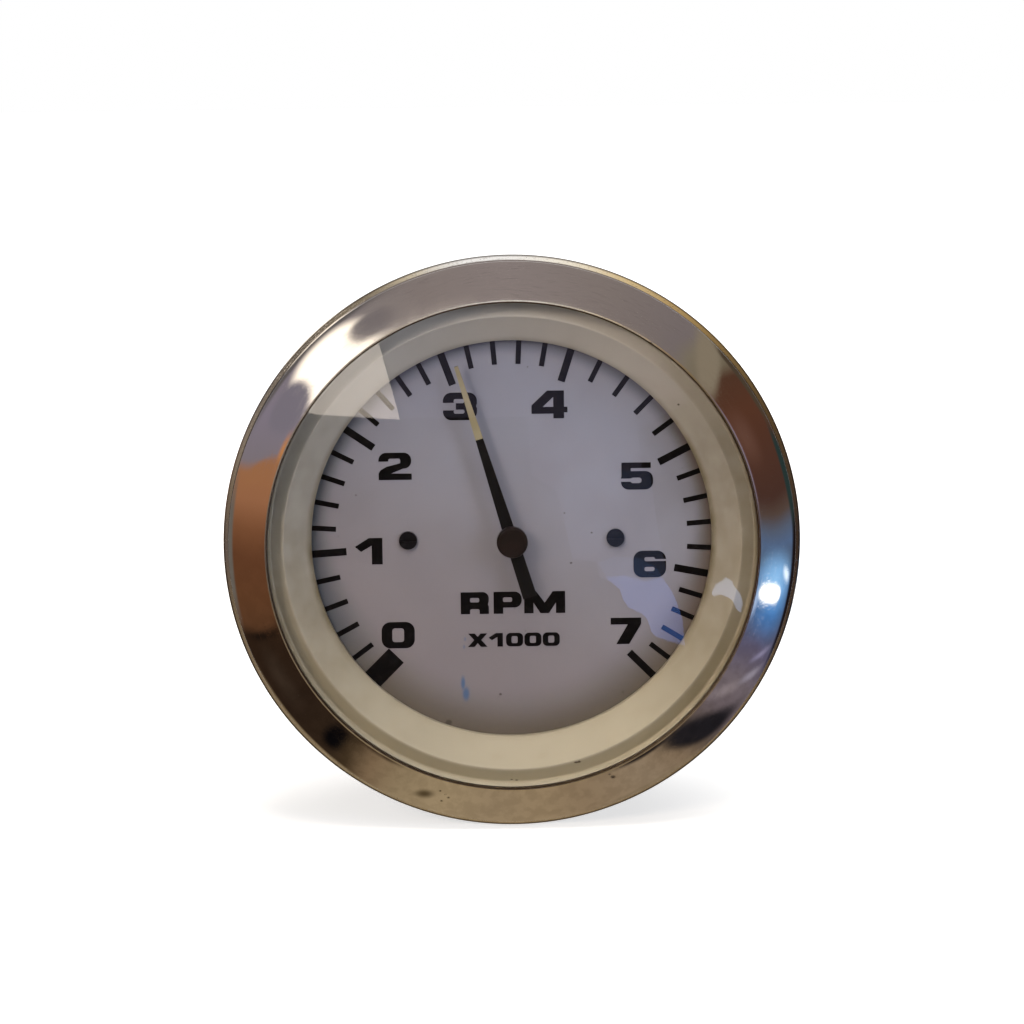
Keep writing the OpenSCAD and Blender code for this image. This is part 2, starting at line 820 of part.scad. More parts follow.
module board_screws() {
    color("silver") upright() for (a = pillar_angles) rotate(a) translate([pillar_r, 0, 0])
        small_screw(board_back, 1, board_t + screw_bite);
}

module circuit_board() {
    hole_h = board_t + 2 * eps;
    color([0.1, 0.35, 0.2]) upright() difference() {
        tube(board_front, board_t, board_d / 2);
        at_z(board_back - eps) {
            for (p = terminal_places) translate(p) cylinder(h = hole_h, r = terminal_r + fit);
            for (a = pillar_angles) rotate(a) translate([pillar_r, 0, 0])
                cylinder(h = hole_h, r = small_screw_r + screw_free);
            for (x = [-pin_xy, pin_xy]) for (y = [-pin_xy, pin_xy]) translate([x, y, 0])
                cylinder(h = hole_h, r = pin_r + fit);
            translate([lamp_x, lamp_y, 0]) cylinder(h = hole_h, r = lamp_hole_r + lug_reach);
        }
    }
}

// The driver chip, in a case with two rows of legs that stand on the board
module driver_chip() {
    legs = 7;
    pitch = 2.54;
    chip_l = 19;
    chip_w = 6.4;
    chip_h = 3.4;
    stand_h = 0.6;
    leg_w = 0.5;
    leg_t = 0.8;
    leg_h = 2.2;
    color([0.14, 0.14, 0.15]) upright() translate([0, chip_y, board_front]) {
        translate([-chip_l / 2, -chip_w / 2, stand_h]) cube([chip_l, chip_w, chip_h]);
        for (i = [0:legs - 1]) for (side = [-1, 1])
            translate([(i - (legs - 1) / 2) * pitch - leg_w / 2,
                side * (chip_w + leg_t) / 2 - leg_t / 2 - side * eps, 0])
                cube([leg_w, leg_t, leg_h]);
    }
}

module filter_capacitor() {
    can_r = 4;
    can_h = 10;
    seal = 0.5;
    color([0.1, 0.15, 0.35]) upright() translate([capacitor_at[0], capacitor_at[1], board_front])
        rotate_extrude() {
            square([can_r - seal, can_h + 2 * seal]);
            translate([0, seal]) square([can_r, can_h]);
        }
}

module resistors() {
    body_l = 6.4;
    body_r = 1.2;
    wire_r = 0.3;
    span = 9.4;
    lift = 1.6;
    color([0.75, 0.66, 0.5]) upright() for (y = resistor_rows)
        translate([resistor_x, y, board_front + lift]) {
            rotate([0, 90, 0]) cylinder(h = body_l, r = body_r, center = true);
            rotate([0, 90, 0]) cylinder(h = span + 2 * wire_r, r = wire_r, center = true);
            for (x = [-span, span] / 2) translate([x, 0, -lift]) cylinder(h = lift, r = wire_r);
        }
}

module calibration_trimmer() {
    side = 9.5;
    body_h = 4.6;
    screw_r = 2.6;
    screw_h = 0.8;
    slot_l = 4;
    slot_w = 0.6;
    color([0.15, 0.3, 0.65]) upright() translate([0, trimmer_y, board_front]) difference() {
        union() {
            translate([-side / 2, -side / 2, 0]) cube([side, side, body_h]);
            cylinder(h = body_h + screw_h, r = screw_r);
        }
        translate([-slot_l / 2, -slot_w / 2, body_h]) cube([slot_l, slot_w, screw_h + eps]);
    }
}

module selector_body() {
    color([0.16, 0.16, 0.17]) upright() translate([selector_x, selector_y, 0]) difference() {
        union() {
            translate([-switch_side / 2, -switch_side / 2, board_back - switch_h])
                cube([switch_side, switch_side, switch_h]);
            tube(board_back - switch_h + eps, board_back - switch_h - neck_end + eps, neck_r);
        }
        at_z(neck_end - eps) cylinder(h = selector_bore_end - neck_end + eps,
            r = selector_shaft_d / 2 + selector_run);
    }
}

module selector_knob() {
    color([0.85, 0.84, 0.8]) upright() translate([selector_x, selector_y, 0]) difference() {
        union() {
            at_z(neck_end - knob_gap - eps)
                cylinder(h = selector_bore_end - neck_end, d = selector_shaft_d);
            tube(neck_end - knob_gap, knob_h, selector_knob_d / 2);
        }
        translate([0, 0, neck_end - knob_gap - knob_h])
            cube([selector_knob_d * 0.8, knob_slot_w, 2 * knob_slot_h], center = true);
    }
}

module terminal_studs() {
    color("gold") upright() for (p = terminal_places) translate(p) {
        tube(board_front + terminal_head_t, terminal_head_t, terminal_head_r);
        tube(board_front + eps, board_front - outer_nut_end + eps, thread_root_r);
        tube(outer_nut_end, outer_nut_end - terminal_end, terminal_r);
    }
}

// Insulating bushes between the board and the rear wall, with a nose through the wall
module terminal_bushes() {
    color([0.55, 0.3, 0.15]) upright() for (p = terminal_places) translate(p) {
        tube(board_back, board_gap, bush_r, terminal_r + fit);
        tube(inner_back + eps, case_wall + eps, terminal_hole_r - fit, terminal_r + fit);
    }
}

module terminal_washers() {
    color([0.55, 0.3, 0.15]) upright() for (p = terminal_places) translate(p)
        tube(case_back, insulator_t, insulator_r, terminal_r + fit);
}

module terminal_inner_nuts() {
    color("gold") upright() for (p = terminal_places) translate(p)
        hex_nut(inner_nut_z, terminal_nut_t, terminal_af, thread_root_r + fit);
}

module terminal_lock_washers() {
    color("silver") upright() for (p = terminal_places) translate(p)
        lock_washer(lock_z, lock_t, terminal_af / 2 - lock_in, terminal_r + lock_gap);
}

module terminal_outer_nuts() {
    color("gold") upright() for (p = terminal_places) translate(p) rotate(20)
        hex_nut(outer_nut_z, terminal_nut_t, terminal_af, thread_root_r + fit);
}

module clamp_studs() {
    color("silver") upright() for (x = [-stud_x, stud_x]) translate([x, 0, 0]) {
        tube(inner_back + stud_head_t, stud_head_t, stud_head_r);
        tube(inner_back + eps, case_wall + stud_len + eps, stud_r);
    }
}

module clamp_stud_washers() {
    color("silver") upright() for (x = [-stud_x, stud_x]) translate([x, 0, 0])
        lock_washer(case_back, lock_t, stud_nut_af / 2 - lock_in, stud_r + lock_gap);
}

module clamp_stud_nuts() {
    color("silver") upright() for (x = [-stud_x, stud_x]) translate([x, 0, 0])
        hex_nut(case_back - lock_t, stud_nut_t, stud_nut_af, stud_r + fit);
}

// Width of the blade at a distance from the spindle
function blade_w(r) = pointer_w + (tip_w - pointer_w) * r / pointer_len;

module pointer_blade() {
    flare = 0.1;
    color([0.07, 0.06, 0.06]) upright() rotate(pointer_angle) at_z(blade_z) difference() {
        linear_extrude(pointer_t) polygon([
            [-tail_len, -pointer_w / 2 - flare], [0, -pointer_w / 2], [pointer_len, -tip_w / 2],
            [pointer_len, tip_w / 2], [0, pointer_w / 2], [-tail_len, pointer_w / 2 + flare]
        ]);
        at_z(-eps) cylinder(h = pointer_t + 2 * eps, r = spindle_r + fit);
    }
}

module pointer_paint() {
    w = blade_w(paint_start);
    color([0.86, 0.78, 0.58]) upright() rotate(pointer_angle) at_z(blade_top)
        linear_extrude(paint_t) polygon([
            [paint_start, -w / 2], [pointer_len, -tip_w / 2], [pointer_len, tip_w / 2],
            [paint_start, w / 2]
        ]);
}

module hub_cap() {
    round_r = 0.5;
    color([0.1, 0.07, 0.06]) upright() difference() {
        at_z(blade_top) rotate_extrude() intersection() {
            translate([0, hub_h]) mirror([0, 1]) translate([0, hub_h])
                cup_section(hub_d / 2, hub_h, round_r);
            square([hub_d, hub_h]);
        }
        at_z(blade_top - eps) cylinder(h = hub_h - round_r, r = spindle_r + fit);
    }
}

module pointer_bush() {
    color("goldenrod") upright() tube(blade_z, bush_h, bush_d / 2, spindle_r + fit);
}

module spindle() {
    top = blade_top + hub_h - 1;
    color("lightgray") upright() tube(top, top - spindle_end, spindle_r);
}

module magnet_rotor() {
    color([0.3, 0.3, 0.32]) upright()
        tube(bobbin_mid + magnet_t / 2, magnet_t, magnet_d / 2, spindle_r + fit);
}

module lamp_holder() {
    base_w = bulb_base_w + 2 * bulb_gap;
    flat_depth = 1.1;
    color([0.92, 0.91, 0.86]) upright() translate([lamp_x, lamp_y, 0]) difference() {
        union() {
            tube(holder_front, holder_front - case_back + seal_t + eps, holder_r);
            tube(case_back - seal_t, holder_flange_t, holder_flange_r);
            tube(case_back - seal_t - holder_flange_t + eps, grip_len + eps, holder_r);
            for (side = [-1, 1]) translate([side * (holder_r + lug_reach / 2 - 0.5), 0,
                inner_back + lug_gap + lug_t / 2])
                cube([lug_reach + 1, lug_w, lug_t], center = true);
        }
        at_z(bulb_base_z - 1)
            cylinder(h = holder_front - bulb_base_z + 2, r = bulb_r + bulb_gap);
        translate([-bulb_base_x - bulb_gap, -base_w / 2, bulb_base_z - bulb_base_l - 1])
            cube([2 * (bulb_base_x + bulb_gap), base_w, bulb_base_l + 1]);
        translate([-lamp_blade_w / 2 - fit, -lamp_blade_t / 2 - fit, holder_back - eps])
            cube([lamp_blade_w + 2 * fit, lamp_blade_t + 2 * fit, lamp_blade_in + fit]);
        for (side = [-1, 1]) translate([-holder_r, side * holder_r - flat_depth, holder_back - eps])
            cube([2 * holder_r, 2 * flat_depth, grip_len - 1]);
    }
}

module lamp_seal() {
    color([0.06, 0.06, 0.06]) upright() translate([lamp_x, lamp_y, 0])
        tube(case_back, seal_t, seal_r, holder_r + fit);
}

module lamp_blade() {
    color("goldenrod") upright() translate([lamp_x, lamp_y, holder_back - lamp_blade_out])
        difference() {
            translate([-lamp_blade_w / 2, -lamp_blade_t / 2, 0])
                cube([lamp_blade_w, lamp_blade_t, lamp_blade_out + lamp_blade_in]);
            translate([0, 0, lamp_blade_hole_z]) rotate([90, 0, 0])
                cylinder(h = lamp_blade_t + 2, r = lamp_blade_hole_r, center = true);
        }
}

module lamp_bulb() {
    color([0.9, 0.93, 0.9, 0.5]) upright() translate([lamp_x, lamp_y, 0]) {
        at_z(bulb_tip - bulb_r) sphere(bulb_r);
        tube(bulb_tip - bulb_r, bulb_tip - bulb_r - bulb_base_z, bulb_r);
        translate([-bulb_base_x, -bulb_base_w / 2, bulb_base_z - bulb_base_l])
            cube([2 * bulb_base_x, bulb_base_w, bulb_base_l + eps]);
    }
}

// The strap's section: a bar with two legs, bent round at the corners
module strap_section() {
    out = strap_in + strap_t;
    bend_out = strap_bend + strap_t;
    difference() {
        union() {
            translate([-out, bar_back + bend_out])
                square([2 * out, -feet_gap - bar_back - bend_out]);
            translate([-out + bend_out, bar_back]) square([2 * (out - bend_out), bend_out + eps]);
            for (side = [-1, 1]) translate([side * (out - bend_out), bar_back + bend_out])
                circle(bend_out);
        }
        translate([-strap_in, bar_front + strap_bend])
            square([2 * strap_in, -bar_front]);
        translate([-strap_in + strap_bend, bar_front])
            square([2 * (strap_in - strap_bend), strap_bend + eps]);
        for (side = [-1, 1]) translate([side * (strap_in - strap_bend), bar_front + strap_bend])
            circle(strap_bend);
    }
}

module clamp_bracket() {
    color("silver") upright() difference() {
        rotate([90, 0, 0]) translate([0, 0, -strap_w / 2]) linear_extrude(strap_w)
            strap_section();
        for (x = [-stud_x, stud_x]) translate([x, 0, bar_back - eps])
            cylinder(h = strap_t + 2 * eps, r = clamp_hole_r);
    }
}

module clamp_washers() {
    color("silver") upright() for (x = [-stud_x, stud_x]) translate([x, 0, 0])
        tube(bar_back, clamp_washer_t, clamp_washer_r, stud_r + clamp_washer_gap);
}

module knurled_nut(x) {
    z = bar_back - clamp_washer_t;
    color("gold") upright() translate([x, 0, 0]) difference() {
        union() {
            tube(z, collar_l + eps, collar_d / 2);
            tube(z - collar_l, knurl_l, knurl_d / 2);
        }
        at_z(z - collar_l - knurl_l - eps)
            cylinder(h = collar_l + knurl_l + 2 * eps, r = stud_r + nut_run);
        for (i = [0:knurl_count - 1]) rotate(i * 360 / knurl_count)
            translate([knurl_d / 2 + knurl_groove_r / 5, 0, z - collar_l - knurl_l - eps])
                cylinder(h = knurl_l + 2 * eps, r = knurl_groove_r, $fn = 16);
    }
}

module left_knurled_nut() {
    knurled_nut(-stud_x);
}

module right_knurled_nut() {
    knurled_nut(stud_x);
}

bezel();
lens_gasket();
lens();
trim_ring();
dial_plate();
dial_print();
dial_screws();
case_shell();
movement_frame();
front_bearing();
rear_bearing();
bobbin_front();
bobbin_rear();
sine_winding();
cosine_winding();
coil_pins();
shield_can();
frame_screws();
board_pillars();
board_screws();
circuit_board();
driver_chip();
filter_capacitor();
resistors();
calibration_trimmer();
selector_body();
terminal_studs();
terminal_bushes();
terminal_washers();
terminal_inner_nuts();
terminal_lock_washers();
terminal_outer_nuts();
clamp_studs();
clamp_stud_washers();
clamp_stud_nuts();
pointer_blade();
pointer_paint();
hub_cap();
pointer_bush();
spindle();
magnet_rotor();
selector_knob();
lamp_holder();
lamp_seal();
lamp_blade();
lamp_bulb();
clamp_bracket();
clamp_washers();
left_knurled_nut();
right_knurled_nut();
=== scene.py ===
"""Boat tachometer: a four inch panel gauge, dressed for its portrait and for every other side.

Sizes are millimetres until a mesh is made, where MM turns them into metres. Inside the classes x is
to the right, up is up on the dial and out points out of the dial, as on a drawing of the dial.
"""
import logging
import math
from dataclasses import dataclass
from enum import Enum
from functools import cached_property, reduce

import bmesh
import bpy
import numpy as np
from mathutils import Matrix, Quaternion, Vector


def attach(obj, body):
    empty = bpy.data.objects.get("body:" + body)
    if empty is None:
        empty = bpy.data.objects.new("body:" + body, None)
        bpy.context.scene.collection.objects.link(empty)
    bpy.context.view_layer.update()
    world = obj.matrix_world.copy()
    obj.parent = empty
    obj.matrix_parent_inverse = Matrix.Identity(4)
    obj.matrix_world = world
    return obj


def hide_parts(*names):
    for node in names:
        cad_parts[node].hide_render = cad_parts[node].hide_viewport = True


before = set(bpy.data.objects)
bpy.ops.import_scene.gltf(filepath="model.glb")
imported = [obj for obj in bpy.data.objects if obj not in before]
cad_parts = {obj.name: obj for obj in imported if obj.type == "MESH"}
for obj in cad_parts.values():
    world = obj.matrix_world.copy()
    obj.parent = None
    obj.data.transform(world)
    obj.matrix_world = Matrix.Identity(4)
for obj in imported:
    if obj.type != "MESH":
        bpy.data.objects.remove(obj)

MM = 0.001
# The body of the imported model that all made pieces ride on
HOUSING = "housing"
LOG = logging.getLogger("tachometer")

Point = tuple[float, float]
Colour = tuple[float, float, float]
Socket = bpy.types.NodeSocket
Shape = tuple[list[Vector], list[tuple[int, ...]]]
# A mark on the face: its middle to the right and upwards, its half width and its half height
Mark = tuple[float, float, float, float]
# A strip round the dial: the distances where it starts, is full, begins to fade and ends
Zone = tuple[float, float, float, float]


class Step(Enum):
    """The steps that a finish is mixed in: a kind of node, its output in use, and its setting."""

    PLACE = "TexCoord", "Object"
    FACING = "NewGeometry", "Normal"
    ROOM_PAINT = "Attribute", "Color", "attribute_name", "room"
    CAMERA_RAY = "LightPath", "Is Camera Ray"
    GLOSSY_RAY = "LightPath", "Is Glossy Ray"
    SHADOW_RAY = "LightPath", "Is Shadow Ray"
    PASSING_RAY = "LightPath", "Is Transmission Ray"
    SCATTERINGS = "LightPath", "Diffuse Depth"
    NOISE = "TexNoise", "Fac"
    CELLS = "TexVoronoi", "Distance"
    TURNS = "TexWave", "Fac", "bands_direction", "DIAGONAL"
    TIMES = "Math", "Value", "operation", "MULTIPLY"
    OVER = "Math", "Value", "operation", "DIVIDE"
    PLUS = "Math", "Value", "operation", "ADD"
    LESS = "Math", "Value", "operation", "SUBTRACT"
    MOST = "Math", "Value", "operation", "MAXIMUM"
    LEAST = "Math", "Value", "operation", "MINIMUM"
    ABOVE = "Math", "Value", "operation", "GREATER_THAN"
    BELOW = "Math", "Value", "operation", "LESS_THAN"
    BAND = "MapRange", "Result", "interpolation_type", "SMOOTHSTEP"
    BLEND = "Mix", "Result", "data_type", "RGBA"
    X = "SeparateXYZ", "X"
    Y = "SeparateXYZ", "Y"
    Z = "SeparateXYZ", "Z"
    JOIN = "CombineXYZ", "Vector"
    STRETCH = "Mapping", "Vector"
    LENGTH = "VectorMath", "Value", "operation", "LENGTH"
    MOVED = "VectorMath", "Vector", "operation", "SUBTRACT"
    SCALED = "VectorMath", "Vector", "operation", "MULTIPLY"
    LIKENESS = "VectorMath", "Value", "operation", "DOT_PRODUCT"
    SOFT_EDGE = "Bevel", "Normal", "samples", 4
    WORN_EDGE = "Bevel", "Normal", "samples", 6
    BUMP = "Bump", "Normal"
    SURFACE = "BsdfPrincipled", "BSDF"
    CLEAR = "BsdfTransparent", "BSDF"
    GLOW = "Emission", "Emission"
    SKY = "Background", "Background"
    EITHER = "MixShader", "Shader"
    BOTH = "AddShader", "Shader"
    MATERIAL_OUT = "OutputMaterial", ""
    WORLD_OUT = "OutputWorld", ""

    def __init__(self, kind: str, output: str, setting: str = "", option: object = None) -> None:
        """Keeps the node's kind, its output in use, and the name and value of its setting."""
        self.kind, self.output, self.setting, self.option = kind, output, setting, option


def linear(code: str) -> Colour:
    """Turns an sRGB hex colour into linear light.

    Args:
        code: Colour such as "#a0b0c0".

    Returns:
        Red, green and blue in linear light.
    """
    parts = [int(code[i:i + 2], 16) / 255 for i in (1, 3, 5)]
    return tuple(p / 12.92 if p <= 0.04045 else ((p + 0.055) / 1.055) ** 2.4 for p in parts)


def per(size: float) -> float:
    """Returns the scale of a pattern whose features are that many millimetres across."""
    return 1 / (size * MM)


def placed(x: float, up: float, out: float) -> Vector:
    """Turns a place on the dial's drawing, in millimetres, into the frame's metres."""
    return Vector((x, -out, up)) * MM


class Recipe:
    """A material or a world while it is mixed, node by node."""

    def __init__(self, name: str, store: str = "materials") -> None:
        """Starts an empty material or world.

        Args:
            name: Its name.
            store: Where Blender keeps its kind, materials or worlds.
        """
        self.owner = getattr(bpy.data, store).new(name)
        self.owner.use_nodes = True
        self.tree = self.owner.node_tree
        self.tree.nodes.clear()

    def add(self, step: Step, *values: object, **named: object) -> Socket | None:
        """Adds a node with its settings, values and links.

        Args:
            step: The kind of node.
            values: Numbers, hex colours, or sockets to link, for its inputs in order.
            named: The same for inputs by name, with _ for a space.

        Returns:
            The output that the step uses, or None for a node that has none.
        """
        node = self.tree.nodes.new("ShaderNode" + step.kind)
        if step.setting:
            setattr(node, step.setting, step.option)
        pairs = list(zip([s for s in node.inputs if s.enabled], values))
        pairs += [(node.inputs[key.replace("_", " ")], value) for key, value in named.items()]
        for socket, value in pairs:
            if isinstance(value, Socket):
                self.tree.links.new(value, socket)
            else:
                socket.default_value = (*linear(value), 1.0) if isinstance(value, str) else value
        return next((s for s in node.outputs if s.enabled and s.name == step.output), None)

    @cached_property
    def place(self) -> Socket:
        """Returns the place on the piece, in metres."""
        return self.add(Step.PLACE)

    def most(self, values: list[Socket]) -> Socket:
        """Returns the largest of several values."""
        return reduce(lambda a, b: self.add(Step.MOST, a, b), values)

    def patches(self, size: float, detail: float, low: float, high: float,
                place: Socket | None = None) -> Socket:
        """Spreads soft patches over the surface.

        Args:
            size: Size of a patch in millimetres.
            detail: Number of finer layers in its edge.
            low: Height of the noise at which a patch starts.
            high: Height at which it is full.
            place: Coordinates, or None for the piece's own.

        Returns:
            1 on the patches and 0 between them.
        """
        return self.add(Step.BAND, self.add(Step.NOISE, place or self.place, per(size), detail), low, high)

    def lay(self, under: object, mask: Socket, tint: object, amount: float = 1.0) -> Socket:
        """Lays a tint over a colour.

        Args:
            under: The colour below, as a hex code or a socket.
            mask: Where the tint shows, from 0 to 1.
            tint: The tint, as a hex code or a socket.
            amount: How much of it shows where it shows most.

        Returns:
            The new colour.
        """
        return self.add(Step.BLEND, self.add(Step.TIMES, mask, amount), under, tint)

    def polar(self) -> tuple[Socket, Socket, Socket]:
        """Splits a place into its parts round the dial's axis.

        Returns:
            The distance from the axis in metres, and the cosine and sine of the angle.
        """
        x, up = self.add(Step.X, self.place), self.add(Step.Z, self.place)
        distance = self.add(Step.LENGTH, self.add(Step.JOIN, x, up))
        return distance, self.add(Step.OVER, x, distance), self.add(Step.OVER, up, distance)

    def strip(self, distance: Socket, zone: Zone, height: float = 1.0) -> Socket:
        """Marks a strip round the dial.

        Args:
            distance: The distance from the dial's axis.
            zone: The strip's distances in millimetres.
            height: The value on the strip.

        Returns:
            The height on the strip and 0 beside it.
        """
        start, full, fade, end = (r * MM for r in zone)
        return self.add(Step.TIMES, self.add(Step.BAND, distance, start, full),
                        self.add(Step.BAND, distance, fade, end, height, 0.0))

    def marks(self, ovals: tuple[Mark, ...], soft: float = 0.5) -> Socket:
        """Marks ovals on the face of the gauge.

        Args:
            ovals: The ovals, in millimetres.
            soft: Share of each oval that fades.

        Returns:
            1 inside the ovals and 0 outside.
        """
        found = []
        for x, up, wide, tall in ovals:
            moved = self.add(Step.MOVED, self.place, (x * MM, 0, up * MM))
            far = self.add(Step.LENGTH, self.add(Step.SCALED, moved, (per(wide), 0, per(tall))))
            found.append(self.add(Step.BAND, far, 1 - soft, 1.0, 1.0, 0.0))
        return self.most(found)

    def relief(self, height: Socket, depth: float, edge: float = 0.0) -> Socket:
        """Turns a height into a relief, and softens the piece's edges.

        Args:
            height: The height, from 0 to 1.
            depth: Real depth of the relief in millimetres.
            edge: Radius of a softened edge in millimetres, or 0 for none.

        Returns:
            The normal.
        """
        soft = {"Normal": self.add(Step.SOFT_EDGE, edge * MM)} if edge else {}
        return self.add(Step.BUMP, Strength=1.0, Distance=depth * MM, Height=height, **soft)

    def close(self, shader: Socket, out: Step = Step.MATERIAL_OUT) -> bpy.types.ID:
        """Closes the recipe and returns the finished material or world."""
        self.add(out, shader)
        return self.owner


@dataclass(frozen=True)
class Finish:
    """A surface: what it is made of and how it was made."""

    name: str

    def material(self) -> bpy.types.Material:
        """Returns the finish's material, mixed once."""
        return bpy.data.materials.get(self.name) or self.mixed()

    def mixed(self) -> bpy.types.Material:
        """Mixes the material; each kind of finish has its own way."""
        raise NotImplementedError(self.name)


@dataclass(frozen=True)
class Metal(Finish):
    """A metal surface: turned, drawn, plated or ground, its grain drawn coarser than real, to show."""

    colour: str
    roughness: float
    tarnish: str
    line: float = 0.12
    depth: float = 0.002
    edge: float = 0.12
    patch: float = 6.0

    def mixed(self) -> bpy.types.Material:
        """Mixes the metal.

        Returns:
            The material, with a fine grain, dull patches and soft edges.
        """
        mix = Recipe(self.name)
        dull = mix.patches(self.patch, 4, 0.38, 0.72)
        lines = mix.add(Step.NOISE, mix.place, per(self.line), 2)
        worn = mix.add(Step.PLUS, dull, mix.add(Step.TIMES, lines, 0.4))
        return mix.close(mix.add(
            Step.SURFACE, Base_Color=mix.lay(self.colour, dull, self.tarnish, 0.4), Metallic=1.0,
            Roughness=mix.add(Step.BAND, worn, 0.0, 1.4, self.roughness * 0.8, self.roughness * 1.5),
            Normal=mix.relief(lines, self.depth, self.edge)))


@dataclass(frozen=True)
class Moulding(Finish):
    """A plastic, rubber, fibre or painted surface, its fine grain drawn coarser than real, to show."""

    colour: str
    shade: str
    roughness: float
    grain: float = 0.35
    depth: float = 0.004
    edge: float = 0.12
    coat: float = 0.0
    gloss: float = 0.5
    cloud: float = 5.0

    def mixed(self) -> bpy.types.Material:
        """Mixes the moulding.

        Returns:
            The material, with a grain, a slow change of shade and soft edges.
        """
        mix = Recipe(self.name)
        grain = mix.add(Step.NOISE, mix.place, per(self.grain), 3)
        fleck = mix.add(Step.PLUS, mix.add(Step.TIMES, mix.patches(self.cloud, 3, 0.35, 0.7), 0.6),
                        mix.add(Step.TIMES, grain, 0.25))
        return mix.close(mix.add(
            Step.SURFACE, Base_Color=mix.lay(self.colour, fleck, self.shade),
            Roughness=mix.add(Step.BAND, grain, 0.3, 0.7, self.roughness * 0.88, self.roughness * 1.12),
            Coat_Weight=self.coat, Specular_IOR_Level=self.gloss,
            Normal=mix.relief(grain, self.depth, self.edge)))


@dataclass(frozen=True)
class StovedEnamel(Finish):
    """Black stoved enamel over drawn steel, worn through to the metal at its edges."""

    name: str = "stoved_enamel_on_drawn_steel"
    colour: str = "#17171a"
    dust: str = "#4b4741"
    metal: str = "#8f8c88"
    peel: float = 0.9
    peel_depth: float = 0.012
    worn_edge: float = 0.35
    chip: float = 1.4
    scratch: float = 1.1
    cloud: float = 9.0

    def mixed(self) -> bpy.types.Material:
        """Mixes the enamel.

        Returns:
            The material, a soft gloss with orange peel, rubbed edges and a few scratches.
        """
        mix = Recipe(self.name)
        turned = mix.add(Step.LIKENESS, mix.add(Step.WORN_EDGE, self.worn_edge * MM), mix.add(Step.FACING))
        edge = mix.add(Step.TIMES, mix.add(Step.BAND, turned, 0.86, 0.97, 1.0, 0.0),
                       mix.patches(self.chip, 5, 0.42, 0.6))
        # Scratches run along the case, from front to back
        along = mix.add(Step.STRETCH, Vector=mix.place, Scale=(1.0, 0.12, 1.0))
        scratches = mix.add(Step.TIMES, mix.patches(self.scratch, 4, 0.70, 0.74, along), 0.35)
        worn = mix.add(Step.LEAST, mix.add(Step.PLUS, edge, scratches), 1.0)
        dust = mix.patches(self.cloud, 5, 0.45, 0.75)
        return mix.close(mix.add(
            Step.SURFACE, Metallic=worn,
            Base_Color=mix.lay(mix.lay(self.colour, dust, self.dust, 0.22), worn, self.metal),
            Roughness=mix.add(Step.BAND, dust, 0.0, 1.0, 0.30, 0.46),
            Normal=mix.relief(mix.add(Step.NOISE, mix.place, per(self.peel), 2), self.peel_depth,
                              self.worn_edge)))


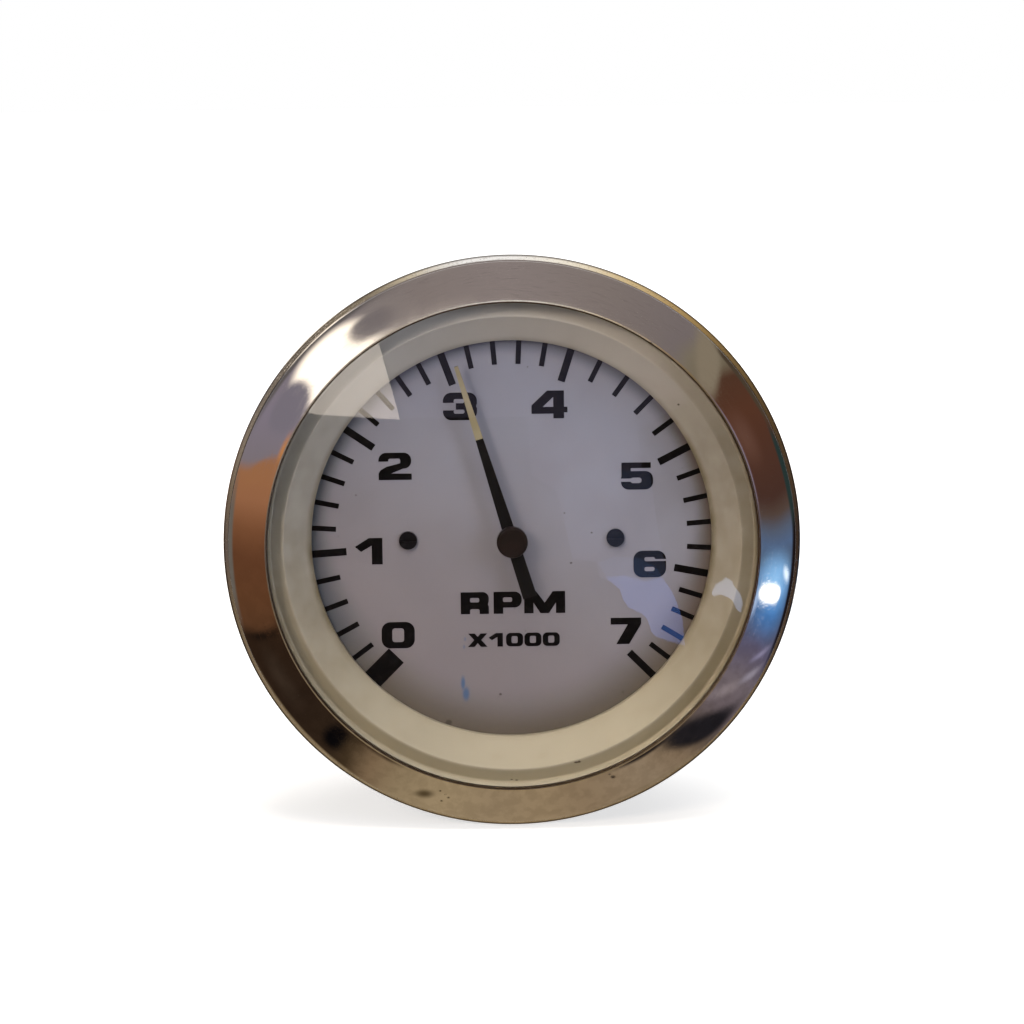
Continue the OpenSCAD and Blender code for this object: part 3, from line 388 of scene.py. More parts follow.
@dataclass(frozen=True)
class BezelSteel(Finish):
    """Spun stainless steel, buffed to a mirror below and rubbed to a satin above.

    Real buffing lines are a few hundredths of a millimetre apart. Here they are coarser, to show.
    """

    name: str = "spun_stainless_buffed"
    colour: str = "#d9d6d2"
    stain: str = "#4a4025"
    haze: str = "#8d8984"
    mottle: str = "#8c8478"
    # The edge and rim colours paint dirt and shade together
    edge_dirt_and_shade: str = "#33271b"
    rim_dirt_and_shade: str = "#544229"
    line: float = 0.13
    line_length: float = 3.0
    middle_r: float = 46.0
    rub: float = 7.0
    stain_grain: float = 0.8
    mottle_grain: float = 2.2
    pit: float = 0.4
    crown_end: Point = (49.55, 49.85)
    rim: Point = (43.04, 43.17)
    foot: Zone = (49.72, 49.82, 49.92, 50.02)
    lip_edge: Zone = (50.42, 50.58, 50.73, 50.79)
    pitting: float = 0.22
    relief_depth: float = 0.0035
    stains: tuple[Mark, ...] = (
        (-13.3, -43.2, 0.3, 0.2), (-13.1, -45.2, 0.35, 0.245), (-12.4, -43.9, 0.3, 0.21),
        (-11.9, -44.5, 0.4, 0.28), (-12.1, 40.9, 0.45, 0.315), (24.2, 35.6, 0.4, 0.28),
        (17.2, -41.1, 0.6, 0.42), (16.6, -40.6, 0.3, 0.21))
    soft_stain: Mark = (-16.1, -43.8, 2.5, 1.2)

    def mixed(self) -> bpy.types.Material:
        """Mixes the steel.

        Returns:
            The material: clear reflections with hairlines round the dial, duller on its upper
            part, with brown stains, mottling below, and dirt and painted shade along its edges.
        """
        mix = Recipe(self.name)
        distance, cosine, sine = mix.polar()
        # Hairlines follow the buffing wheel, so they are long round the dial and close across it
        place = mix.add(Step.JOIN, mix.add(Step.TIMES, cosine, self.middle_r * MM),
                        mix.add(Step.TIMES, sine, self.middle_r * MM),
                        mix.add(Step.TIMES, distance, self.line_length / self.line))
        lines = mix.add(Step.NOISE, place, per(self.line_length), 4)
        hair = mix.add(Step.BAND, lines, 0.56, 0.66)
        crown = mix.add(Step.BAND, distance, *(r * MM for r in self.crown_end), 1.0, 0.0)
        upper = mix.add(Step.TIMES, mix.add(Step.BAND, sine, 0.6, 0.98), crown)
        rubbed = mix.add(Step.BAND, mix.patches(self.rub, 4, 0.35, 0.7), 0.0, 1.0, 0.55, 1.0)
        satin = mix.add(Step.TIMES, upper, rubbed)
        stained = mix.add(Step.TIMES, mix.marks(self.stains, 0.7),
                          mix.patches(self.stain_grain, 4, 0.3, 0.55))
        colour = mix.lay(self.colour, stained, self.stain, 0.85)
        colour = mix.lay(colour, mix.marks((self.soft_stain,), 0.9), self.stain, 0.85)
        colour = mix.lay(colour, mix.add(Step.TIMES, hair, upper), self.haze, 0.16)
        mottled = mix.add(Step.TIMES, mix.patches(self.mottle_grain, 6, 0.38, 0.62),
                          mix.add(Step.BAND, sine, 0.3, -0.7))
        colour = mix.lay(colour, mottled, self.mottle, 0.2)
        # Dirt and painted shade darken the crown's foot, except at the top, and the lip's edge, most at the
        # bottom
        foot = mix.add(Step.TIMES, mix.strip(distance, self.foot, 0.8),
                       mix.add(Step.BAND, sine, 0.5, 0.85, 1.0, 0.0))
        edge = mix.add(Step.TIMES, mix.strip(distance, self.lip_edge, 0.75),
                       mix.add(Step.BAND, sine, 0.2, -0.3, 0.7, 1.0))
        colour = mix.lay(colour, mix.add(Step.MOST, foot, edge), self.edge_dirt_and_shade)
        # More dirt and painted shade, a thin dark line, lie where the turned-in edge meets the glass
        rim = mix.add(Step.BAND, distance, *(r * MM for r in self.rim), 0.95, 0.0)
        rough = mix.add(Step.PLUS, mix.add(Step.BAND, satin, 0.0, 1.0, 0.045, 0.20),
                        mix.add(Step.TIMES, hair, 0.06))
        dull = mix.add(Step.TIMES, mix.add(Step.MOST, stained, rim), 0.4)
        brushed = mix.add(Step.TIMES, lines, mix.add(Step.BAND, satin, 0.0, 1.0, 0.25, 1.0))
        height = mix.add(Step.LESS, brushed, mix.add(Step.TIMES, stained, 0.5))
        pits = mix.add(Step.TIMES, mix.patches(self.pit, 3, 0.58, 0.70), self.pitting)
        return mix.close(mix.add(
            Step.SURFACE, Base_Color=mix.lay(colour, rim, self.rim_dirt_and_shade), Metallic=1.0,
            Roughness=mix.add(Step.PLUS, rough, dull),
            Normal=mix.relief(mix.add(Step.PLUS, height, pits), self.relief_depth)))


@dataclass(frozen=True)
class RingPlastic(Finish):
    """Cream moulded plastic, yellowed by the sun, with dirt and painted shade in its groove and round its
    edges.
    """

    name: str = "moulded_plastic_cream"
    colour: str = "#cac3b9"
    aged: str = "#9e9377"
    # The grime and silt colours paint dirt and shade together
    grime_and_shade: str = "#695a3c"
    silt_and_shade: str = "#6c5a2c"
    nick: str = "#3a3023"
    groove: Zone = (40.2, 40.8, 42.3, 43.0)
    shaded_brink: Point = (42.2, 42.8)
    toe: Point = (35.5, 36.6)
    shaded_side: Point = (-0.8, -0.6)
    grain: float = 0.25
    cloud: float = 4.0
    nicks: tuple[Mark, ...] = (
        (10.9, -39.2, 0.55, 0.22), (11.4, -39.1, 0.38, 0.28), (0.3, -42.3, 0.35, 0.14),
        (-0.6, -42.2, 0.3, 0.12), (29.4, 24.1, 0.25, 0.25))

    def mixed(self) -> bpy.types.Material:
        """Mixes the plastic.

        Returns:
            The material, matt, yellower towards the bottom, with dirt and painted shade in the groove, at
            the dial, at both sides and under the bezel's edge.
        """
        mix = Recipe(self.name)
        distance, cosine, sine = mix.polar()
        cloud = mix.add(Step.NOISE, mix.place, per(self.cloud), 4)
        colour = mix.lay(self.colour, mix.add(Step.BAND, sine, 0.3, -0.9), self.aged, 0.7)
        # The groove is darkened by dirt and painted shade, most at the bottom
        groove = mix.add(Step.TIMES, mix.strip(distance, self.groove),
                         mix.add(Step.BAND, sine, 0.2, -0.9, 0.12, 0.44))
        # Painted shade of the bezel's overhang: above the bottom the groove's darkening reaches out to the
        # glass' edge
        shaded_brink = mix.add(Step.TIMES, mix.add(Step.BAND, distance, *(r * MM for r in self.shaded_brink)),
                        mix.add(Step.BAND, sine, -0.75, -0.35, 0.0, 0.45))
        colour = mix.lay(colour, mix.add(Step.MOST, groove, shaded_brink), self.silt_and_shade)
        # Dirt and painted shade where the ring's toe meets the dial, less at the bottom
        toe = mix.add(Step.BAND, distance, *(r * MM for r in self.toe), 1.0, 0.0)
        dirt_and_shade = mix.add(Step.TIMES, toe, mix.add(Step.BAND, sine, -0.2, -0.8, 0.35, 0.1))
        # Painted shade darkens both sides, and more towards the lower left; clouds of dirt vary it and add a
        # little
        sides = mix.add(Step.MOST, mix.add(Step.BAND, cosine, 0.5, 1.0, 0.0, 0.54),
                        mix.add(Step.BAND, cosine, -0.55, -1.0, 0.0, 0.44))
        shade_toward = mix.add(Step.PLUS, mix.add(Step.TIMES, cosine, self.shaded_side[0]),
                         mix.add(Step.TIMES, sine, self.shaded_side[1]))
        sides = mix.add(Step.PLUS, sides, mix.add(Step.BAND, shade_toward, 0.6, 1.0, 0.0, 0.16))
        dirt_and_shade = mix.add(Step.TIMES, mix.add(Step.PLUS, dirt_and_shade, sides),
                       mix.add(Step.BAND, cloud, 0.25, 0.6, 0.8, 1.0))
        dirt_and_shade = mix.add(Step.PLUS, dirt_and_shade, mix.add(Step.BAND, cloud, 0.5, 0.8, 0.0, 0.07))
        colour = mix.lay(colour, dirt_and_shade, self.grime_and_shade)
        return mix.close(mix.add(
            Step.SURFACE, Base_Color=mix.lay(colour, mix.marks(self.nicks), self.nick, 0.9),
            Roughness=mix.add(Step.BAND, cloud, 0.3, 0.7, 0.42, 0.6),
            Normal=mix.relief(mix.add(Step.NOISE, mix.place, per(self.grain), 3), 0.004)))


@dataclass(frozen=True)
class DialEnamel(Finish):
    """Pale sprayed enamel on the dial, with a painted shadow of the ring that thickens to its edge, and
    painted light towards the upper right.
    """

    name: str = "sprayed_enamel_dial"
    colour: str = "#867e82"
    # Painted light, paler and bluer, towards the upper right
    upper: str = "#9394a3"
    cloudy: str = "#7d767c"
    # Colours of the ring's painted shadow on the dial, at each side
    top: str = "#575865"
    left: str = "#484d53"
    right: str = "#5f5146"
    bottom: str = "#5a5145"
    ink: str = "#2f5a88"
    speck: str = "#3b342d"
    opening: float = 35.5
    # How far the ring's painted shadow reaches at the top and the bottom, how ragged it is and how big its
    # clouds are
    ring_shadow_top: float = 2.6
    ring_shadow_bottom: float = 8.8
    ring_shadow_ragged: float = 1.2
    ring_shadow_cloud: float = 6.0
    cloud: float = 14.0
    dust: float = 2.6
    grain: float = 0.3
    slope_r: float = 26.0
    slope: Point = (0.4, 0.85)
    specks: tuple[Mark, ...] = (
        (-2.3, -28.1, 0.35, 0.3), (10.5, -4.5, 0.3, 0.24), (9.4, 4.5, 0.22, 0.176),
        (14.2, 0.9, 0.25, 0.2), (-11.6, -33.1, 0.75, 0.6), (-27.5, 8.2, 0.2, 0.16),
        (3.1, 30.6, 0.18, 0.144), (19.6, -28.0, 0.2, 0.16))
    pen_strokes: tuple[Mark, ...] = ((-8.95, -26.0, 0.6, 1.9), (-8.45, -27.9, 0.95, 1.9))
    pen_dots: tuple[Mark, ...] = ((-8.5, -18.0, 0.3, 0.5), (-8.7, -19.4, 0.3, 0.5))

    def mixed(self) -> bpy.types.Material:
        """Mixes the enamel.

        Returns:
            The material: matt grey-lilac, with painted shadow along the ring, most at the bottom,
            painted light paler and bluer towards the upper right, and pen marks and specks.
        """
        mix = Recipe(self.name)
        distance, cosine, sine = mix.polar()
        # Painted shadow of the ring: a band inside the opening, widest at the bottom, in each side's colour
        inward = mix.add(Step.LESS, self.opening * MM, distance)
        ragged = mix.add(Step.TIMES, mix.add(Step.NOISE, mix.place, per(self.ring_shadow_cloud), 3),
                         self.ring_shadow_ragged * MM)
        reach = mix.add(Step.PLUS, mix.add(Step.BAND, sine, 0.3, -0.85, self.ring_shadow_top * MM,
                                           self.ring_shadow_bottom * MM), ragged)
        ring_shadow = mix.add(Step.BAND, mix.add(Step.LESS, 1.0, mix.add(Step.OVER, inward, reach)), 0.0, 1.05)
        edge = mix.lay(self.left, mix.add(Step.BAND, cosine, -0.5, 0.5), self.right)
        edge = mix.lay(edge, mix.add(Step.BAND, sine, -0.35, -0.8), self.bottom)
        edge = mix.lay(edge, mix.add(Step.BAND, sine, 0.4, 0.8), self.top)
        cloud = mix.add(Step.NOISE, mix.place, per(self.cloud), 4)
        # Painted light: the ground grows paler and bluer towards the upper right
        slope = mix.add(Step.PLUS, mix.add(Step.TIMES, sine, self.slope[1]),
                        mix.add(Step.TIMES, cosine, self.slope[0]))
        height = mix.add(Step.BAND, mix.add(Step.TIMES, slope, distance), -self.slope_r * MM,
                         self.slope_r * MM)
        ground = mix.lay(self.colour, height, self.upper)
        ground = mix.lay(ground, mix.add(Step.BAND, cloud, 0.35, 0.7), self.cloudy, 0.3)
        cells = mix.add(Step.CELLS, mix.place, per(self.dust))
        dust = mix.add(Step.TIMES, mix.add(Step.BAND, cells, 0.03, 0.07, 1.0, 0.0),
                       mix.add(Step.BAND, cloud, 0.5, 0.6))
        specks = mix.add(Step.MOST, mix.marks(self.specks), mix.add(Step.TIMES, dust, 0.5))
        pen = mix.add(Step.MOST, mix.marks(self.pen_strokes, 0.8),
                      mix.add(Step.TIMES, mix.marks(self.pen_dots), 0.5))
        colour = mix.lay(mix.lay(ground, ring_shadow, edge, 0.92), pen, self.ink, 0.75)
        return mix.close(mix.add(
            Step.SURFACE, Base_Color=mix.lay(colour, specks, self.speck, 0.75),
            Roughness=mix.add(Step.BAND, cloud, 0.3, 0.7, 0.5, 0.62),
            Normal=mix.relief(mix.add(Step.NOISE, mix.place, per(self.grain), 3), 0.003)))


@dataclass(frozen=True)
class PrintedInk(Finish):
    """Black screen-printed ink, a little thinner in places and ragged at that scale."""

    name: str = "screen_printed_ink"
    colour: str = "#070506"
    thin: str = "#161213"
    patch: float = 1.2
    grain: float = 0.2

    def mixed(self) -> bpy.types.Material:
        """Mixes the ink.

        Returns:
            The material, matt and nearly black with paler pinholes.
        """
        mix = Recipe(self.name)
        thin = mix.patches(self.patch, 5, 0.5, 0.75)
        return mix.close(mix.add(
            Step.SURFACE, Base_Color=mix.lay(self.colour, thin, self.thin),
            Roughness=mix.add(Step.BAND, thin, 0.0, 1.0, 0.5, 0.65), Specular_IOR_Level=0.12,
            Normal=mix.relief(mix.add(Step.NOISE, mix.place, per(self.grain), 2), 0.002)))


@dataclass(frozen=True)
class FloatGlass(Finish):
    """Clear glass that shows what lies under it and the room on it."""

    tint: str = "#fbfdfc"

    def mixed(self) -> bpy.types.Material:
        """Mixes the glass.

        Returns:
            The material, clear, and open to the lamps so that the dial isn't left dark.
        """
        mix = Recipe(self.name)
        glass = mix.add(Step.SURFACE, Base_Color=self.tint, Roughness=0.0, IOR=1.5,
                        Transmission_Weight=1.0)
        return mix.close(mix.add(Step.EITHER, mix.add(Step.SHADOW_RAY), glass, mix.add(Step.CLEAR)))


@dataclass(frozen=True)
class WoundWire(Finish):
    """Enamelled copper wire, laid turn beside turn, drawn about six times as thick so that it shows."""

    name: str = "enamelled_copper_wire"
    colour: str = "#b0623a"
    gap: str = "#4a2413"
    wire: float = 0.28

    def mixed(self) -> bpy.types.Material:
        """Mixes the winding.

        Returns:
            The material, with a shadow between turns and a varnished gloss.
        """
        mix = Recipe(self.name)
        turns = mix.add(Step.TURNS, mix.place, per(self.wire) / 20, 0.6)
        return mix.close(mix.add(
            Step.SURFACE, Metallic=0.6, Roughness=0.32, Normal=mix.relief(turns, self.wire / 3, 0.1),
            Base_Color=mix.lay(self.colour, mix.add(Step.BAND, turns, 0.0, 0.45, 1.0, 0.0), self.gap)))


# Spun and buffed stainless: the room shows in it, soft where it is rubbed
BEZEL_STEEL = BezelSteel()
# Sun-yellowed plastic: a matt warm ring with dirt and painted shade in its groove and at its sides
CREAM_PLASTIC = RingPlastic()
# Sprayed enamel: a flat pale ground that takes soft shadows, with a painted ring shadow and painted light
# towards the upper right
DIAL_ENAMEL = DialEnamel()
# Screen-printed ink: flat black figures
DIAL_INK = PrintedInk()
# Float glass: sharp reflections over the dial
CLEAR_GLASS = FloatGlass("float_glass_clear")
# Blown glass: the bulb's thin shell
BULB_GLASS = FloatGlass("blown_glass_clear", "#f6f8f4")
# Stoved enamel: a soft black gloss with rubbed edges
CASE_ENAMEL = StovedEnamel()
# Moulded nitrile rubber under dust: a dull brown-black line round the glass
BLACK_RUBBER = Moulding("moulded_rubber_black", "#211a12", "#37312a", 0.75, 0.5, 0.01)
# Moulded phenolic: dull black with a brown cast
BLACK_MOULDING = Moulding("moulded_phenolic_black", "#19181a", "#2a2725", 0.45, 0.4, 0.005)
# Moulded phenolic of the bobbin: dull red
RED_MOULDING = Moulding("moulded_phenolic_red", "#a33226", "#7f261d", 0.42)
# Moulded nylon of the trimmer: clean blue with a light gloss
BLUE_MOULDING = Moulding("moulded_nylon_blue", "#2b52a6", "#22427f", 0.38)
# Moulded nylon: off-white, slightly waxy
WHITE_NYLON = Moulding("moulded_nylon_natural", "#dedaca", "#cdc7b2", 0.4, 0.5, 0.004)
# Blacked steel screws: dark with a little sheen left
BLACKED_STEEL = Metal("blacked_steel_turned", "#2d2b30", 0.42, "#16151a")
# Lacquered brass, turned: warm yellow with fine lines
TURNED_BRASS = Metal("turned_brass_lacquered", "#c9a253", 0.24, "#8a6a34")
# Zinc-plated steel: cool grey with a dull bloom
ZINC_STEEL = Metal("zinc_plated_steel", "#b7bcc0", 0.3, "#8b8f90", 0.3, 0.0015, 0.2)
# Drawn nickel-iron: grey and satin
NICKEL_IRON = Metal("drawn_nickel_iron", "#a29d95", 0.33, "#7e7a74")
# Ground steel of the spindle: bright
GROUND_STEEL = Metal("ground_steel_spindle", "#c3c3c5", 0.16, "#9a9a9c")
# Sintered ferrite: dark grey and granular
FERRITE = Moulding("sintered_ferrite", "#3a3a3d", "#28282b", 0.55, 0.3, 0.01)
# Copper winding: rows of varnished wire
COPPER_WINDING = WoundWire()
# Glass-fibre laminate under green lacquer: a soft gloss over a weave
BOARD_LAMINATE = Moulding("glass_fibre_laminate_green", "#1f5a37", "#174a2c", 0.3, 0.9, 0.006, 0.1, 0.3)
# Moulded epoxy of the chip: matt black
CHIP_EPOXY = Moulding("moulded_epoxy_black", "#1b1b1d", "#262628", 0.6, 0.2, 0.004)
# Shrunk vinyl sleeve of the capacitor: smooth dark blue
CAPACITOR_SLEEVE = Moulding("shrunk_vinyl_sleeve", "#1b2b57", "#152244", 0.28, 1.5, 0.006)
# Lacquered resistor bodies: warm beige with a gloss
RESISTOR_LACQUER = Moulding("lacquered_ceramic_beige", "#c7ab80", "#b09367", 0.3, 0.6, 0.01, 0.1, 0.4)
# Vulcanised fibre washers: red-brown and fibrous
FIBRE_WASHER = Moulding("vulcanised_fibre_brown", "#7f4a2b", "#5f351d", 0.6, 0.35, 0.02)
# Sprayed black of the pointer: dull
POINTER_BLACK = Moulding("sprayed_black_pointer", "#070506", "#0e0a0b", 0.45, 0.25, 0.003, 0.06, 0, 0.25)
# Sprayed cream of the pointer's tip, aged: a warm stroke on the cool dial
POINTER_CREAM = Moulding("sprayed_cream_pointer", "#9c9277", "#8d8162", 0.5, 0.3, 0.004, 0.0)
# Moulded hub cap: dark brown-black, nearly flat
HUB_PLASTIC = Moulding("moulded_plastic_hub", "#150d0b", "#201411", 0.4, 0.3, 0.003, 0.2, 0, 0.25)


@dataclass(frozen=True)
class CarriedPieces:
    """A sub-assembly whose pieces keep their CAD shape: each finish with the nodes that wear it."""

    name: str
    nodes: dict[Finish, tuple[str, ...]]

    def build(self) -> None:
        """Dresses the nodes."""
        for finish, nodes in self.nodes.items():
            for node in nodes:
                for material_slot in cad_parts[node].material_slots:
                    material_slot.material = finish.material()
                LOG.info("%s, %s: %s", self.name, node, finish.name)


CARRIED = (
    CarriedPieces("dial", {
        DIAL_ENAMEL: ("dial_plate",), DIAL_INK: ("dial_print",), BLACKED_STEEL: ("dial_screws",),
        CLEAR_GLASS: ("lens",)}),
    CarriedPieces("pointer", {
        POINTER_BLACK: ("pointer_blade",), POINTER_CREAM: ("pointer_paint",), HUB_PLASTIC: ("hub_cap",),
        TURNED_BRASS: ("pointer_bush",), GROUND_STEEL: ("spindle",), FERRITE: ("magnet_rotor",)}),
    CarriedPieces("movement", {
        BLACK_MOULDING: ("movement_frame",), RED_MOULDING: ("bobbin_front", "bobbin_rear"),
        COPPER_WINDING: ("sine_winding", "cosine_winding"), NICKEL_IRON: ("shield_can",),
        TURNED_BRASS: ("front_bearing", "rear_bearing", "coil_pins", "board_pillars"),
        ZINC_STEEL: ("frame_screws", "board_screws")}),
    CarriedPieces("board", {
        BOARD_LAMINATE: ("circuit_board",), CHIP_EPOXY: ("driver_chip",),
        CAPACITOR_SLEEVE: ("filter_capacitor",), RESISTOR_LACQUER: ("resistors",),
        BLUE_MOULDING: ("calibration_trimmer",)}),
    CarriedPieces("case", {
        CASE_ENAMEL: ("case_shell",), BLACK_MOULDING: ("selector_body",),
        WHITE_NYLON: ("selector_knob",)}),
    CarriedPieces("terminals", {
        FIBRE_WASHER: ("terminal_bushes", "terminal_washers"), ZINC_STEEL: ("terminal_lock_washers",),
        TURNED_BRASS: ("terminal_inner_nuts", "terminal_outer_nuts")}),
    CarriedPieces("dial lamp", {
        WHITE_NYLON: ("lamp_holder",), BLACK_RUBBER: ("lamp_seal",), TURNED_BRASS: ("lamp_blade",),
        BULB_GLASS: ("lamp_bulb",)}),
    CarriedPieces("clamp", {
        ZINC_STEEL: ("clamp_stud_washers", "clamp_stud_nuts", "clamp_bracket", "clamp_washers"),
        TURNED_BRASS: ("left_knurled_nut", "right_knurled_nut")}),
)


def rounded(corners: list[tuple[float, float, float]], steps: int = 6, hold: float = 0.03,
            ) -> list[Point]:
    """Rounds the corners of a closed outline.

    Args:
        corners: Each corner as distance from the axis, height, and radius of its rounding.
        steps: Number of steps in each rounding.
        hold: Distance past a rounding at which a further point keeps the flat beside it flat.

    Returns:
        The outline's points.
    """
    outline = []
    for i, (x, y, radius) in enumerate(corners):
        here = np.array((x, y))
        before = np.array(corners[i - 1][:2]) - here
        after = np.array(corners[(i + 1) % len(corners)][:2]) - here
        if radius <= 0:
            outline.append((x, y))
            continue
        before, after = before / np.linalg.norm(before), after / np.linalg.norm(after)
        half = math.acos(float(np.clip(before @ after, -1, 1))) / 2
        middle = (before + after) / np.linalg.norm(before + after)
        centre = here + middle * radius / math.sin(half)
        away = radius / math.tan(half)
        start, end = here + before * away - centre, here + after * away - centre
        outline.append(tuple(here + before * (away + hold)))
        first, last = math.atan2(start[1], start[0]), math.atan2(end[1], end[0])
        turn = (last - first + math.pi) % (2 * math.pi) - math.pi
        for j in range(steps + 1):
            angle = first + turn * j / steps
            outline.append((centre[0] + radius * math.cos(angle), centre[1] + radius * math.sin(angle)))
        outline.append(tuple(here + after * (away + hold)))
    return outline


def spin(outline: list[Point], steps: int) -> Shape:
    """Spins a closed outline round the dial's axis.

    Args:
        outline: Points as distance from the axis and height out of the dial.
        steps: Number of steps round.

    Returns:
        The points and the faces.
    """
    count = len(outline)
    points = [placed(r * math.cos(a), r * math.sin(a), out)
              for a in (math.tau * i / steps for i in range(steps)) for r, out in outline]
    faces = [(i * count + j, i * count + (j + 1) % count,
              (i + 1) % steps * count + (j + 1) % count, (i + 1) % steps * count + j)
             for i in range(steps) for j in range(count)]
    return points, faces


def stand(name: str, data: bpy.types.ID) -> bpy.types.Object:
    """Puts a new object into the scene.

    Args:
        name: The object's name.
        data: Its mesh, camera or light.

    Returns:
        The object.
    """
    made = bpy.data.objects.new(name, data)
    bpy.context.scene.collection.objects.link(made)
    return made


def plain_mesh(name: str, points: list, faces: list[tuple[int, ...]]) -> bpy.types.Object:
    """Makes an object of plain faces.

    Args:
        name: The object's name.
        points: Its points in metres.
        faces: Its faces.

    Returns:
        The object, in the scene.
    """
    mesh = bpy.data.meshes.new(name)
    mesh.from_pydata([tuple(p) for p in points], [], faces)
    return stand(name, mesh)


def smooth_mesh(name: str, points: list, faces: list[tuple[int, ...]],
                sharp: float = 32.0) -> bpy.types.Object:
    """Makes a smooth object whose edges stay sharp where its faces turn.

    Args:
        name: The object's name.
        points: Its points in metres.
        faces: Its faces.
        sharp: Angle in degrees above which an edge stays sharp.

    Returns:
        The object, in the scene.
    """
    made = plain_mesh(name, points, faces)
    shell = bmesh.new()
    shell.from_mesh(made.data)
    bmesh.ops.recalc_face_normals(shell, faces=shell.faces)
    shell.to_mesh(made.data)
    shell.free()
    made.data.shade_smooth()
    made.data.set_sharp_from_angle(angle=math.radians(sharp))
    return made


def seat(piece: bpy.types.Object, finish: Finish, node: str) -> None:
    """Dresses a made piece, puts it on the housing and lets it stand for its node.

    Args:
        piece: The piece.
        finish: Its finish.
        node: The node that it stands for.
    """
    piece.data.materials.append(finish.material())
    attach(piece, HOUSING)
    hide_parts(node)
    LOG.info("%s: %d faces, %s", piece.name, len(piece.data.polygons), finish.name)


@dataclass
class Bezel:
    """The spun bezel: a rear lip, a skirt, a bulging crown and an edge turned in over the glass."""

    seat_r: float = 43.3
    lip_r: float = 50.8
    lip_t: float = 1.2
    skirt_r: float = 49.8
    skirt_h: float = 3.2
    window_r: float = 42.85
    height: float = 7.0
    sheet: float = 0.6
    bulge: float = 0.9
    edge_r: float = 0.27
    return_z: float = 6.1
    lip_back: float = 0.45
    lip_front: float = 0.14
    skirt_foot: float = 0.08
    skirt_top: float = 0.2
    steps: int = 288
    crown_steps: int = 32
    inner_steps: int = 12
    edge_steps: int = 6

    def crown(self, start: Point, end: Point, bulge: float, steps: int) -> list[Point]:
        """Draws a crown from one point to another.

        Args:
            start: Distance from the axis and height where it starts.
            end: Where it ends.
            bulge: How far its middle lies off the straight line.
            steps: Number of steps.

        Returns:
            The points, both ends included.
        """
        a, b = np.array(start), np.array(end)
        normal = np.array((b[1] - a[1], a[0] - b[0])) / np.linalg.norm(b - a)
        return [tuple(a + (b - a) * t + normal * 4 * bulge * t * (1 - t))
                for t in (i / steps for i in range(steps + 1))]

    def tilt(self, across: float) -> float:
        """Says how far the crown's surface leans away from the axis.

        Args:
            across: Place on the crown, from 0 at the window to 1 at the skirt.

        Returns:
            The lean in degrees.
        """
        run = self.skirt_r - self.window_r - self.edge_r
        rise = self.height - self.skirt_h
        bend = 4 * self.bulge / math.hypot(run, rise) * (2 * across - 1)
        return math.degrees(math.atan2(rise, run) + math.atan(bend))

    def outline(self) -> list[Point]:
        """Draws the section of the sheet, with its corners rounded.

        Returns:
            The points, as distance from the axis and height.
        """
        outer = self.crown((self.skirt_r, self.skirt_h), (self.window_r + self.edge_r, self.height),
                           self.bulge, self.crown_steps)
        inner = self.crown((self.window_r + self.sheet, self.height - self.sheet),
                           (self.skirt_r - self.sheet, self.skirt_h - self.sheet / 2), -self.bulge,
                           self.inner_steps)
        corners = [(self.seat_r, 0, 0), (self.lip_r, 0, self.lip_back),
                   (self.lip_r, self.lip_t, self.lip_front), (self.skirt_r, self.lip_t, self.skirt_foot),
                   (*outer[0], self.skirt_top)]
        corners += [(*p, 0) for p in outer[1:]]
        middle = (self.window_r + self.edge_r, self.height - self.edge_r)
        corners += [(middle[0] + self.edge_r * math.cos(a), middle[1] + self.edge_r * math.sin(a), 0)
                    for a in (math.pi / 2 * (1 + i / self.edge_steps)
                              for i in range(1, self.edge_steps + 1))]
        corners += [(self.window_r, self.return_z, 0), (self.window_r + self.sheet, self.return_z, 0)]
        corners += [(*p, 0) for p in inner]
        corners += [(self.skirt_r - self.sheet, self.sheet, 0), (self.seat_r, self.sheet, 0)]
        return rounded(corners)

    def build(self) -> None:
        """Builds and dresses the bezel."""
        ring = smooth_mesh("bezel_spun", *spin(self.outline(), self.steps))
        seat(ring, BEZEL_STEEL, "bezel")


